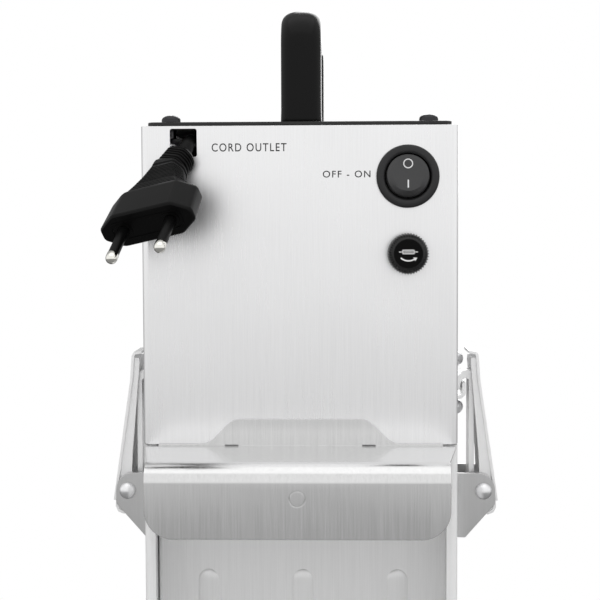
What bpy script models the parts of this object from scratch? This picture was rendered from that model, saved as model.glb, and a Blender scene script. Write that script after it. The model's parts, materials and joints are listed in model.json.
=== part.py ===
"""Countertop nacho cheese dispenser.

A drive head with carry handle, mains switch, fuse and cord store stands on an open-backed warmer base and is held
down by two draw latches.  The head carries the auger pump and the heater down into the cheese tank.

World frame: +Z up, the control panel faces -Y, the dispensing spout faces +Y, the feet stand on Z = 0.
"""
import math

import bmesh
import bpy
from mathutils import Matrix, Vector

MM = 0.001
GAP = 0.3 * MM                      # clearance between resting neighbours
SHEET = 1.0 * MM                    # stainless sheet

# Driving dimensions of the head, the base and where they meet.
SEAM_Z = 222.0 * MM                 # height of the joint between base and head
HEAD_W = 116.3 * MM
HEAD_D = 150.0 * MM
HEAD_H = 117.2 * MM
BODY_Y = -24.0 * MM                 # centre of head and base along Y
BEND_R = 2.6 * MM                   # outer radius of the folded corners
TOP_FLANGE = 7.0 * MM               # inward flange that carries the lid

# Lid, its screws and the carry handle.
LID_W = 112.0 * MM
LID_D = 145.0 * MM
LID_T = 1.3 * MM
LID_SCREW_X = 47.8 * MM
LID_SCREW_Y = 66.0 * MM
HANDLE_LENGTH = 98.0 * MM
HANDLE_HEIGHT = 45.2 * MM
HANDLE_WIDTH = 15.7 * MM
HANDLE_DEPTH = 11.0 * MM
HANDLE_BEND_R = 9.0 * MM

# Control panel: heights are above the seam, X from the middle.
SWITCH_X, SWITCH_H = 39.6 * MM, 98.5 * MM
FUSE_X, FUSE_H = 39.4 * MM, 70.4 * MM
CORD_SLOT_X = -42.4 * MM
CORD_SLOT_W, CORD_SLOT_TALL = 9.8 * MM, 10.2 * MM
ROCKER_REST_TILT = math.radians(9.0)

# Front panel controls and the spout.
BUTTON_H = 56.0 * MM
KNOB_X, KNOB_H = -30.0 * MM, 90.0 * MM
LAMP_X, LAMP_H = 30.0 * MM, 90.0 * MM
SPOUT_H = 17.0 * MM
SPOUT_REACH = 34.0 * MM             # from the front panel to the middle of the outlet
SPOUT_R, SPOUT_BORE_R = 8.0 * MM, 6.0 * MM

# Pump and heater, measured from the middle of the head.
PUMP_Y = 30.0 * MM
PUMP_R, PUMP_BORE_R = 11.5 * MM, 9.6 * MM
PUMP_BOTTOM_Z = 20.0 * MM
PUMP_TOP_H = 30.0 * MM
AUGER_R, AUGER_CORE_R, AUGER_PITCH = 9.0 * MM, 3.2 * MM, 20.0 * MM
HEATER_X, HEATER_R = -32.0 * MM, 3.5 * MM
PROBE_X, PROBE_Y, PROBE_R = 32.0 * MM, -12.0 * MM, 3.0 * MM

# Base: open-backed frame, ribbed tank set back inside it, hook plate over its rear.
FRAME_Z = 10.0 * MM
SHELF_FRONT = 164.0 * MM           # front edge of the shelf from the middle of the head
REAR_LIP = 4.2 * MM                 # visible width of the frame's rear flanges
TANK_REAR = -46.5 * MM
TANK_FRONT = 72.5 * MM
TANK_W = 113.6 * MM
TANK_FLOOR_Z = 12.0 * MM
TANK_CORNER_R = 1.8 * MM
RIB_PITCH, RIB_W, RIB_TOP_DEPTH = 37.0 * MM, 8.0 * MM, 54.0 * MM
HOOK_DEPTH, HOOK_DROP, HOOK_W = 41.0 * MM, 25.8 * MM, 104.8 * MM
HOOK_BEND_R = 6.5 * MM
LEDGE_W = 115.0 * MM                # width of the ledge where it leaves the frame
HOOK_CORNER_R = 10.0 * MM
TAB_TOP_W, TAB_FOOT_W, TAB_H = 42.5 * MM, 75.0 * MM, 10.0 * MM
NOTCH_X = 25.3 * MM

# Draw latches: u is measured out from the side wall, w up from the seam, Y about the middle of the body.
PIVOT_U, PIVOT_W = 16.0 * MM, -29.8 * MM
LINK_U, LINK_W = 18.2 * MM, -36.8 * MM
EAR_U = 20.8 * MM
BRACKET_HALF_Y = 12.0 * MM
BRACKET_TOP_W, BRACKET_LOW_W = -22.3 * MM, -49.3 * MM
LEVER_HALF_Y = 9.9 * MM
FLANGE_HALF_Y = 8.9 * MM
PIN_R = 2.0 * MM

# Drip tray and feet.
TRAY_REAR, TRAY_FRONT, TRAY_W, TRAY_H = 80.0 * MM, 150.0 * MM, 104.0 * MM, 14.0 * MM
FOOT_R, FOOT_X = 8.0 * MM, 44.0 * MM
FOOT_YS = {"rear": -60.0 * MM, "front": 138.0 * MM}

# Mains lead and its coil inside the head, measured from the middle of the head at the seam.
CORD_R = 2.75 * MM
COIL_CENTRE = (-51.1 * MM, -26.0 * MM, 50.0 * MM)
COIL_INNER_R, COIL_OUTER_R, COIL_THICK = 24.75 * MM, 41.25 * MM, 11.0 * MM
CORD_ROUTE = (
    (-47.8, -29.3, 94.2),
    (-45.1, -39.7, 99.7),
    (-42.7, -49.0, 104.6),
    (-40.9, -57.0, 108.8),
    (-40.1, -64.5, 111.3),
    (-40.3, -69.5, 111.6),
    (-40.9, -74.5, 110.2),
    (-41.83, -78.16, 107.29),
)
PLUG_START = (-42.0, -79.0, 106.6)
RELIEF_AXIS, PLUG_AXIS = Vector((-0.42, -0.62, -0.66)), Vector((-0.115, -0.84, -0.53))
RELIEF_WIDE, PLUG_WIDE = Vector((0.889, -0.428, -0.163)), Vector((0.944, -0.26, 0.208))
PLUG_BEND_FROM, PLUG_BEND_TO, PLUG_TWIST_TO = 8.0, 12.0, 14.0
PIN_SPACING, PIN_LENGTH, PLUG_PIN_R = 17.6 * MM, 18.7 * MM, 2.0 * MM
# Millimetres along the plug, full width, full thickness, and width of the flat ridge on its broad faces.
PLUG_SECTIONS = (
    (0.0, 7.8, 7.4, 4.4),
    (2.0, 11.0, 10.0, 6.4),
    (8.4, 11.4, 10.4, 6.8),
    (9.6, 13.2, 11.2, 8.0),
    (11.6, 13.2, 11.2, 8.2),
    (13.4, 13.4, 11.2, 8.8),
    (20.0, 17.4, 11.6, 12.0),
    (26.0, 23.0, 12.3, 15.5),
    (30.0, 27.5, 12.6, 18.5),
    (30.8, 33.0, 13.0, 20.6),
    (45.9, 34.4, 12.9, 22.0),
)

COLOURS = {
    "brushed_steel": ((0.62, 0.62, 0.63), 0.30, 1.0),
    "bright_steel": ((0.75, 0.75, 0.76), 0.15, 1.0),
    "black_plastic": ((0.02, 0.02, 0.02), 0.40, 0.0),
    "black_gloss": ((0.015, 0.015, 0.015), 0.15, 0.0),
    "black_enamel": ((0.03, 0.03, 0.03), 0.45, 0.0),
    "dark_screw": ((0.08, 0.08, 0.09), 0.35, 1.0),
    "rubber": ((0.03, 0.03, 0.03), 0.80, 0.0),
    "silicone": ((0.75, 0.73, 0.68), 0.60, 0.0),
    "food_plastic": ((0.85, 0.85, 0.83), 0.45, 0.0),
    "brass": ((0.78, 0.60, 0.30), 0.30, 1.0),
    "glass": ((0.85, 0.90, 0.90), 0.05, 0.0),
    "red_plastic": ((0.65, 0.05, 0.03), 0.30, 0.0),
    "amber_lens": ((0.90, 0.40, 0.05), 0.15, 0.0),
}

MATERIALS = {}


# ---------------------------------------------------------------- helpers

def clear_scene():
    for thing in list(bpy.data.objects):
        bpy.data.objects.remove(thing, do_unlink=True)


def material(name):
    """One Principled material for each colour name."""
    if name not in MATERIALS:
        colour, roughness, metallic = COLOURS[name]
        made = bpy.data.materials.new(name)
        made.use_nodes = True
        shader = made.node_tree.nodes["Principled BSDF"]
        shader.inputs["Base Color"].default_value = (*colour, 1.0)
        shader.inputs["Roughness"].default_value = roughness
        shader.inputs["Metallic"].default_value = metallic
        MATERIALS[name] = made
    return MATERIALS[name]


def empty(name, location, parent=None):
    """A placing point; its children are placed from it."""
    point = bpy.data.objects.new(name, None)
    point.location = location
    point.parent = parent
    bpy.context.collection.objects.link(point)
    return point


def place(name, bm, colour, parent, location=(0.0, 0.0, 0.0), smooth=False):
    """Turn a bmesh into a named object, placed from its parent."""
    bmesh.ops.recalc_face_normals(bm, faces=bm.faces)
    mesh = bpy.data.meshes.new(name)
    bm.to_mesh(mesh)
    bm.free()
    if smooth:
        mesh.shade_smooth()
        mesh.set_sharp_from_angle(angle=math.radians(35.0))
    mesh.materials.append(material(colour))
    made = bpy.data.objects.new(name, mesh)
    made.parent = parent
    made.location = location
    bpy.context.collection.objects.link(made)
    return made


def combine(target, bm, operation, location=(0.0, 0.0, 0.0)):
    """Cut, join or intersect target with a hidden tool shape, placed from the same parent."""
    tool = place(target.name + "_tool", bm, "rubber", target.parent, location)
    tool.hide_render = True
    tool.display_type = "WIRE"
    modifier = target.modifiers.new(operation.lower(), "BOOLEAN")
    modifier.operation = operation
    modifier.solver = "EXACT"
    modifier.object = tool


def prism(points, axis, low, high):
    """Extrude an outline; its two coordinates are the axes other than the given one, in X, Y, Z order."""
    place_at = {
        "X": lambda p, t: (t, p[0], p[1]),
        "Y": lambda p, t: (p[0], t, p[1]),
        "Z": lambda p, t: (p[0], p[1], t),
    }[axis]
    bm = bmesh.new()
    face = bm.faces.new([bm.verts.new(place_at(p, low)) for p in points])
    grown = bmesh.ops.extrude_face_region(bm, geom=[face])
    moved = [v for v in grown["geom"] if isinstance(v, bmesh.types.BMVert)]
    bmesh.ops.translate(bm, verts=moved, vec=Vector(place_at((0.0, 0.0), high - low)))
    return bm


def box(low, high):
    """A block between two corners."""
    outline = [(low[0], low[1]), (high[0], low[1]), (high[0], high[1]), (low[0], high[1])]
    return prism(outline, "Z", low[2], high[2])


def cylinder(radius, low, high, axis="Z", segments=24, centre=(0.0, 0.0)):
    """A round bar along an axis."""
    return prism(circle(radius, segments, centre), axis, low, high)


def circle(radius, segments=24, centre=(0.0, 0.0)):
    turns = [2.0 * math.pi * (i + 0.5) / segments for i in range(segments)]
    return [(centre[0] + radius * math.cos(a), centre[1] + radius * math.sin(a)) for a in turns]


def arc(centre, radius, start, end, steps):
    """Points on an arc, angles in degrees."""
    angles = [math.radians(start + (end - start) * i / steps) for i in range(steps + 1)]
    return [(centre[0] + radius * math.cos(a), centre[1] + radius * math.sin(a)) for a in angles]


def rounded_rectangle(half_x, half_y, radius, steps=5, centre=(0.0, 0.0)):
    points = []
    for sx, sy, start in ((1, 1, 0), (-1, 1, 90), (-1, -1, 180), (1, -1, 270)):
        corner = (centre[0] + sx * (half_x - radius), centre[1] + sy * (half_y - radius))
        points += arc(corner, radius, start, start + 90, steps)
    return points


def loft(sections):
    """Bridge closed sections of equal point count and cap both ends."""
    bm = bmesh.new()
    rings = [[bm.verts.new(p) for p in section] for section in sections]
    count = len(rings[0])
    for lower, upper in zip(rings, rings[1:]):
        for i in range(count):
            j = (i + 1) % count
            bm.faces.new((lower[i], lower[j], upper[j], upper[i]))
    bm.faces.new(rings[0])
    bm.faces.new(list(reversed(rings[-1])))
    return bm


def turned(profile, axis="Z", segments=24, closed=False):
    """Spin (radius, height) points about an axis through the origin; closed joins the last point to the first."""
    bm = bmesh.new()
    rings = []
    for radius, height in profile:
        if radius == 0.0:
            rings.append([bm.verts.new((0.0, 0.0, height))] * segments)
        else:
            rings.append([bm.verts.new((x, y, height)) for x, y in circle(radius, segments)])
    pairs = list(zip(rings, rings[1:]))
    if closed:
        pairs.append((rings[-1], rings[0]))
    for lower, upper in pairs:
        for i in range(segments):
            j = (i + 1) % segments
            corners = []
            for vertex in (lower[i], lower[j], upper[j], upper[i]):
                if vertex not in corners:
                    corners.append(vertex)
            bm.faces.new(corners)
    turn = {"X": Matrix.Rotation(math.radians(90.0), 3, "Y"),
            "Y": Matrix.Rotation(math.radians(-90.0), 3, "X"),
            "Z": Matrix.Identity(3)}[axis]
    bmesh.ops.transform(bm, matrix=turn, verts=bm.verts)
    return bm


def offset_strip(path, thickness):
    """Outline of a folded sheet: the path and its copy moved to the left by the thickness."""
    left = []
    for i, point in enumerate(path):
        before = Vector(path[max(i - 1, 0)])
        after = Vector(path[min(i + 1, len(path) - 1)])
        normal = Vector((before.y - after.y, after.x - before.x)).normalized()
        first = (Vector(point) - before).normalized() if i else None
        if first is not None and i < len(path) - 1:
            stretch = 1.0 / max(abs(Vector((-first.y, first.x)).dot(normal)), 0.5)
        else:
            stretch = 1.0
        left.append(tuple(Vector(point) + normal * thickness * stretch))
    return list(path) + left[::-1]


def dome(radius, height, base, steps=4):
    """Profile of a low dome from its rim to its top."""
    angles = [math.radians(90.0 * i / steps) for i in range(steps)]
    rim = [(radius * math.cos(a), base + height * math.sin(a)) for a in angles]
    return rim + [(0.0, base + height)]


# ---------------------------------------------------------------- head: casing

def head_wrap_path():
    """Plan of the head's outer faces: front left, round both rear corners, front right."""
    half, rear, front = HEAD_W / 2, -HEAD_D / 2, HEAD_D / 2
    path = [(-half, front)]
    path += arc((-half + BEND_R, rear + BEND_R), BEND_R, 180, 270, 6)
    path += arc((half - BEND_R, rear + BEND_R), BEND_R, 270, 360, 6)
    path.append((half, front))
    return path


def make_head_shell(head):
    """Folded stainless wrap: rear control panel and both sides, with an inward flange under the lid."""
    shell = place("head_shell", prism(offset_strip(head_wrap_path(), SHEET), "Z", 0.0, HEAD_H),
                  "brushed_steel", head, smooth=True)
    inner_x, inner_y = HEAD_W / 2 - TOP_FLANGE, HEAD_D / 2 - TOP_FLANGE
    front = HEAD_D / 2
    edge = 0.2 * MM                 # the flange joins the wall just inside its outer face
    outline = [(-inner_x, front), (-HEAD_W / 2 + edge, front)]
    outline += arc((-HEAD_W / 2 + BEND_R, -HEAD_D / 2 + BEND_R), BEND_R - edge, 180, 270, 4)
    outline += arc((HEAD_W / 2 - BEND_R, -HEAD_D / 2 + BEND_R), BEND_R - edge, 270, 360, 4)
    outline += [(HEAD_W / 2 - edge, front), (inner_x, front), (inner_x, -inner_y), (-inner_x, -inner_y)]
    combine(shell, prism(outline, "Z", HEAD_H - SHEET, HEAD_H - 0.01 * MM), "UNION")

    rear = -HEAD_D / 2
    through = (rear - 2 * MM, rear + 3 * MM)
    combine(shell, cylinder(10.2 * MM, *through, "Y", 32, (SWITCH_X, SWITCH_H)), "DIFFERENCE")
    combine(shell, cylinder(6.2 * MM, *through, "Y", 24, (FUSE_X, FUSE_H)), "DIFFERENCE")
    slot_top = HEAD_H - SHEET - 0.05 * MM
    slot_centre = (CORD_SLOT_X, slot_top - CORD_SLOT_TALL / 2)
    slot = rounded_rectangle(CORD_SLOT_W / 2, CORD_SLOT_TALL / 2, 0.8 * MM, 3, slot_centre)
    combine(shell, prism(slot, "Y", *through), "DIFFERENCE")
    for x, y in lid_screw_places():
        combine(shell, cylinder(2.1 * MM, HEAD_H - 3 * MM, HEAD_H + MM, "Z", 12, (x, y)), "DIFFERENCE")


def make_head_floor(head):
    """Floor of the head with a flange up each side; the pump, heater and probe pass through it."""
    half = HEAD_W / 2 - SHEET - GAP
    rise = 7.5 * MM
    outline = [(-half, rise), (-half, GAP), (half, GAP), (half, rise), (half - SHEET, rise),
               (half - SHEET, GAP + SHEET), (-half + SHEET, GAP + SHEET), (-half + SHEET, rise)]
    rear, front = -HEAD_D / 2 + BEND_R, HEAD_D / 2 - SHEET - GAP
    floor = place("head_floor", prism(outline, "Y", rear, front), "brushed_steel", head)
    combine(floor, cylinder(PUMP_R + GAP, -2 * MM, 5 * MM, "Z", 32, (0.0, PUMP_Y)), "DIFFERENCE")
    for y in heater_leg_ys():
        combine(floor, cylinder(HEATER_R + GAP, -2 * MM, 5 * MM, "Z", 16, (HEATER_X, y)), "DIFFERENCE")
    combine(floor, cylinder(PROBE_R + GAP, -2 * MM, 5 * MM, "Z", 16, (PROBE_X, PROBE_Y)), "DIFFERENCE")


def make_front_panel(head):
    """Front panel of the head, with side flanges, and holes for the controls and the spout."""
    half = HEAD_W / 2 - SHEET - GAP
    front = HEAD_D / 2
    fold = 8.0 * MM
    outline = [(-half, front - fold), (-half, front), (half, front), (half, front - fold),
               (half - SHEET, front - fold), (half - SHEET, front - SHEET),
               (-half + SHEET, front - SHEET), (-half + SHEET, front - fold)]
    low, high = 8.2 * MM, HEAD_H - SHEET - GAP
    panel = place("head_front_panel", prism(outline, "Z", low, high), "brushed_steel", head)
    skirt = box((-half + 1.5 * MM, front - SHEET, GAP), (half - 1.5 * MM, front, 9 * MM))
    combine(panel, skirt, "UNION")
    through = (front - 3 * MM, front + 2 * MM)
    for radius, centre in ((SPOUT_R + GAP, (0.0, SPOUT_H)), (6.3 * MM, (0.0, BUTTON_H)),
                           (3.3 * MM, (KNOB_X, KNOB_H)), (4.3 * MM, (LAMP_X, LAMP_H))):
        combine(panel, cylinder(radius, *through, "Y", 24, centre), "DIFFERENCE")


def lid_screw_places():
    return [(sx * LID_SCREW_X, sy * LID_SCREW_Y) for sy in (-1, 1) for sx in (-1, 1)]


def handle_leg_ys():
    reach = HANDLE_LENGTH / 2 - HANDLE_DEPTH / 2
    return {"rear": -reach, "front": reach}


def make_lid(head):
    """Black enamelled lid plate and the four pan-head screws that hold it."""
    base = HEAD_H + GAP
    lid = place("head_lid", prism(rounded_rectangle(LID_W / 2, LID_D / 2, 3 * MM, 4), "Z", base, base + LID_T),
                "black_enamel", head)
    for x, y in lid_screw_places():
        combine(lid, cylinder(2.1 * MM, base - MM, base + 3 * MM, "Z", 12, (x, y)), "DIFFERENCE")
    for y in handle_leg_ys().values():
        combine(lid, cylinder(2.4 * MM, base - MM, base + 3 * MM, "Z", 12, (0.0, y)), "DIFFERENCE")

    shank, head_r, head_t = 1.75 * MM, 3.6 * MM, 2.3 * MM
    names = ("rear_left", "rear_right", "front_left", "front_right")
    for name, (x, y) in zip(names, lid_screw_places()):
        profile = [(0.0, -5 * MM), (shank, -5 * MM), (shank, GAP), (head_r, GAP), (head_r, 0.9 * MM)]
        profile += dome(head_r, head_t - 0.9 * MM, 0.9 * MM, 3)[1:]
        place("lid_screw_" + name, turned(profile, segments=16), "dark_screw", head,
              (x, y, base + LID_T), smooth=True)


def handle_section(width, depth):
    """Flat oval cross-section of the handle bar."""
    return rounded_rectangle(width / 2, depth / 2, depth * 0.42, 3)


def make_handle(head):
    """Moulded bow handle that runs from rear to front, and the two screws that come up through the lid."""
    foot = HEAD_H + GAP + LID_T + GAP
    top = HANDLE_HEIGHT - HANDLE_DEPTH / 2
    reach = HANDLE_LENGTH / 2 - HANDLE_DEPTH / 2
    centre_y, centre_z = reach - HANDLE_BEND_R, top - HANDLE_BEND_R
    path = [(-reach, 0.0, 90.0), (-reach, 12.0 * MM, 90.0)]
    for angle in (180, 165, 150, 135, 120, 105, 90):
        a = math.radians(angle)
        path.append((-centre_y + HANDLE_BEND_R * math.cos(a), centre_z + HANDLE_BEND_R * math.sin(a), angle - 90.0))
    path += [(-y, z, -angle) for y, z, angle in path[::-1]]
    sections = []
    for y, z, angle in path:
        a = math.radians(angle)
        flare = 0.6 * MM if z < 5 * MM else 0.0
        across = Vector((0.0, -math.sin(a), math.cos(a)))
        section = [Vector((sx, y, z)) + across * sy
                   for sx, sy in handle_section(HANDLE_WIDTH + flare, HANDLE_DEPTH + flare)]
        sections.append(section)
    handle = place("carry_handle", loft(sections), "black_plastic", head, (0.0, 0.0, foot), smooth=True)
    for end, y in handle_leg_ys().items():
        combine(handle, cylinder(2.0 * MM, -MM, 10 * MM, "Z", 12, (0.0, y)), "DIFFERENCE", (0.0, 0.0, foot))
        below = HEAD_H - GAP
        profile = [(0.0, below - 2.6 * MM), (3.9 * MM, below - 2.6 * MM), (3.9 * MM, below), (1.6 * MM, below),
                   (1.6 * MM, foot + 9 * MM), (0.0, foot + 9 * MM)]
        place("handle_screw_" + end, turned(profile, segments=12), "dark_screw", head, (0.0, y, 0.0), smooth=True)


# ---------------------------------------------------------------- head: rear controls

def make_power_switch(head):
    """Round rocker switch: housing with a bezel, and the rocker that tilts in its bore."""
    rear = -HEAD_D / 2
    face, bore, body, rim = 2.2 * MM, 8.35 * MM, 9.9 * MM, 11.5 * MM
    back, floor = -18 * MM, -8.6 * MM
    profile = [(0.0, back), (body, back), (body, GAP), (rim, GAP), (rim, face - 0.5 * MM),
               (rim - 0.4 * MM, face), (bore, face), (bore, floor), (0.0, floor)]
    place("switch_housing", turned([(r, -h) for r, h in profile], "Y", 32), "black_plastic", head,
          (SWITCH_X, rear, SWITCH_H), smooth=True)

    radius, front, rear_face = 8.0 * MM, 3.2 * MM, -4.5 * MM
    pivot = empty("rocker_pivot", (SWITCH_X, rear, SWITCH_H), head)
    angles = [math.asin(h / radius) for h in (rear_face, rear_face / 2, 0.0, front / 2, front)]
    profile = [(0.0, rear_face)]
    profile += [(radius * math.cos(a), radius * math.sin(a)) for a in angles]
    profile.append((0.0, front))
    rocker = place("power_rocker", turned([(r, -h) for r, h in profile], "Y", 32), "black_gloss", pivot, smooth=True)
    rocker.rotation_euler.x = -ROCKER_REST_TILT


def make_fuse(head):
    """Panel fuse holder, its cartridge and the bayonet cap."""
    rear = -HEAD_D / 2
    seat = empty("fuse_seat", (FUSE_X, rear, FUSE_H), head)
    bore, barrel, flange = 3.2 * MM, 5.9 * MM, 7.2 * MM
    back, floor = -32 * MM, -30 * MM
    profile = [(0.0, back), (barrel, back), (barrel, GAP), (flange, GAP), (flange, 1.3 * MM),
               (bore, 1.3 * MM), (bore, floor), (0.0, floor)]
    place("fuse_holder", turned([(r, -h) for r, h in profile], "Y", 24), "black_plastic", seat, smooth=True)

    link_r, link_front, link_back = 2.6 * MM, -5.5 * MM, -25.5 * MM
    profile = [(0.0, link_back), (link_r, link_back), (link_r, link_front), (0.0, link_front)]
    place("fuse_link", turned([(r, -h) for r, h in profile], "Y", 12), "glass", seat, smooth=True)

    cap_r, face_r, foot, front = 7.55 * MM, 5.6 * MM, 1.6 * MM, 9.4 * MM
    profile = [(0.0, -5 * MM), (2.8 * MM, -5 * MM), (2.8 * MM, foot), (cap_r, foot), (cap_r, front - 1.6 * MM),
               (cap_r - 0.6 * MM, front - 0.5 * MM), (face_r, front), (0.0, front)]
    place("fuse_cap", turned([(r, -h) for r, h in profile], "Y", 32), "black_gloss", seat, smooth=True)


def make_mains_lead(head):
    """Plug, the lead behind it, its stowed coil, and the clamp that anchors the lead inside the head."""
    curve = bpy.data.curves.new("mains_cord", "CURVE")
    curve.dimensions = "3D"
    curve.bevel_depth = CORD_R
    curve.bevel_resolution = 2
    curve.use_fill_caps = True
    points = smooth_route([Vector(p) * MM for p in CORD_ROUTE], 4)
    spline = curve.splines.new("POLY")
    spline.points.add(len(points) - 1)
    for spot, point in zip(spline.points, points):
        spot.co = (*point, 1.0)
    curve.materials.append(material("rubber"))
    cord = bpy.data.objects.new("mains_cord", curve)
    cord.parent = head
    bpy.context.collection.objects.link(cord)

    half = COIL_THICK / 2
    profile = [(COIL_INNER_R, -half), (COIL_OUTER_R, -half), (COIL_OUTER_R, half), (COIL_INNER_R, half)]
    place("mains_cord_coil", turned(profile, "X", 32, closed=True), "rubber", head, COIL_CENTRE, smooth=True)

    x, y, z = COIL_CENTRE
    clamp_low = (-HEAD_W / 2 + SHEET + GAP, y - 7 * MM, z - 23 * MM)
    place("cord_clamp", box(clamp_low, (x + 4.5 * MM, y + 7 * MM, z - 15 * MM)), "black_plastic", head)

    centre, walked, sections = Vector(PLUG_START) * MM, 0.0, []
    for along, wide, deep, ridge in PLUG_SECTIONS:
        bend = min(max((along - PLUG_BEND_FROM) / (PLUG_BEND_TO - PLUG_BEND_FROM), 0.0), 1.0)
        twist = min(along / PLUG_TWIST_TO, 1.0)
        axis = RELIEF_AXIS.lerp(PLUG_AXIS, bend).normalized()
        across = RELIEF_WIDE.lerp(PLUG_WIDE, twist)
        across = (across - axis * across.dot(axis)).normalized()
        up = across.cross(axis)
        centre = centre + axis * (along - walked) * MM
        walked = along
        sections.append([centre + across * px * MM + up * py * MM for px, py in plug_outline(wide, deep, ridge)])
    place("mains_plug", loft(sections), "black_plastic", head, smooth=True)
    for name, side in (("left", -1), ("right", 1)):
        foot = centre + across * side * PIN_SPACING / 2 + axis * GAP
        pin = place("plug_pin_" + name, plug_pin(), "brass", head, foot, smooth=True)
        pin.rotation_euler = axis.to_track_quat("Z", "Y").to_euler()


def plug_outline(wide, deep, ridge):
    """Half-hexagon pairs: a flat of the ridge's width on top and bottom, sloping to the two side edges."""
    half_w, half_d, half_r = wide / 2, deep / 2, ridge / 2
    edge = half_d * 0.35
    return [(half_w, -edge), (half_w, edge), (half_r, half_d), (-half_r, half_d),
            (-half_w, edge), (-half_w, -edge), (-half_r, -half_d), (half_r, -half_d)]


def plug_pin():
    """Round contact pin with a domed tip."""
    tip = 1.6 * MM
    profile = [(0.0, 0.0), (PLUG_PIN_R, 0.0)] + dome(PLUG_PIN_R, tip, PIN_LENGTH - tip, 3)
    return turned(profile, segments=12)


def smooth_route(points, steps):
    """Catmull-Rom curve through hand-placed points."""
    padded = [points[0] * 2 - points[1]] + points + [points[-1] * 2 - points[-2]]
    curve = []
    for a, b, c, d in zip(padded, padded[1:], padded[2:], padded[3:]):
        for i in range(steps):
            t = i / steps
            curve.append(((b * 2) + (c - a) * t + (a * 2 - b * 5 + c * 4 - d) * t ** 2
                          + (b * 3 - a - c * 3 + d) * t ** 3) / 2)
    return curve + [points[-1]]


# ---------------------------------------------------------------- head: drive, pump and heater

def make_drive(head):
    """Motor and gearbox over the pump, and the auger with its coupling."""
    pump = empty("pump_axis", (0.0, PUMP_Y, 0.0), head)
    gearbox_low, gearbox_high = PUMP_TOP_H + 12 * MM, PUMP_TOP_H + 34 * MM
    box_r, motor_r = 18.5 * MM, 17.5 * MM
    profile = [(0.0, gearbox_low - 4 * MM), (6 * MM, gearbox_low - 4 * MM), (6 * MM, gearbox_low),
               (box_r, gearbox_low), (box_r, gearbox_high), (0.0, gearbox_high)]
    place("gearbox", turned(profile, segments=24), "bright_steel", pump, smooth=True)
    motor_low, motor_high = gearbox_high + GAP, HEAD_H - 6 * MM
    profile = [(0.0, motor_low), (motor_r, motor_low), (motor_r, motor_high - 2 * MM),
               (motor_r - 2 * MM, motor_high), (0.0, motor_high)]
    place("drive_motor", turned(profile, segments=24), "bright_steel", pump, smooth=True)
    motor_strap(head)

    shaft_r, top = 4.0 * MM, gearbox_low - 4 * MM - GAP
    profile = [(0.0, PUMP_TOP_H + 3.5 * MM), (shaft_r + 2 * MM, PUMP_TOP_H + 3.5 * MM),
               (shaft_r + 2 * MM, top), (0.0, top)]
    place("drive_coupling", turned(profile, segments=6), "bright_steel", pump, smooth=True)

    low = PUMP_BOTTOM_Z + 4.5 * MM - SEAM_Z
    high = PUMP_TOP_H - 9 * MM
    place("auger", auger_screw(low, high, PUMP_TOP_H + 3.2 * MM), "food_plastic", pump, smooth=True)


def motor_strap(head):
    """Bridge plate that hangs the gearbox between the two side walls."""
    half = HEAD_W / 2 - SHEET - GAP
    low = PUMP_TOP_H + 34 * MM - 6 * MM
    outline = [(-half, low - 8 * MM), (-half, low), (half, low), (half, low - 8 * MM), (half - SHEET, low - 8 * MM),
               (half - SHEET, low - SHEET), (-half + SHEET, low - SHEET), (-half + SHEET, low - 8 * MM)]
    strap = place("motor_bridge", prism(outline, "Y", PUMP_Y - 14 * MM, PUMP_Y + 22 * MM), "brushed_steel", head)
    combine(strap, cylinder(18.5 * MM + GAP, low - 9 * MM, low + 9 * MM, "Z", 32, (0.0, PUMP_Y)), "DIFFERENCE")


def auger_screw(low, high, shaft_top):
    """A core with one flight, twisted up its length, and a plain shaft end."""
    blade = 0.9 * MM
    steps = round((high - low) / AUGER_PITCH * 9)
    outline = [(AUGER_R, -blade), (AUGER_R, blade)] + arc((0.0, 0.0), AUGER_CORE_R, 24, 336, 4)
    sections = []
    for i in range(steps + 1):
        z = low + (high - low) * i / steps
        turn = 2.0 * math.pi * (z - low) / AUGER_PITCH
        c, s = math.cos(turn), math.sin(turn)
        sections.append([(x * c - y * s, x * s + y * c, z) for x, y in outline])
    end = sections[-1]
    for radius, z in ((AUGER_CORE_R, high + 0.5 * MM), (AUGER_CORE_R, shaft_top)):
        ring = []
        for x, y, _ in end:
            scale = radius / math.hypot(x, y)
            ring.append((x * scale, y * scale, z))
        sections.append(ring)
    return loft(sections)


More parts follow.
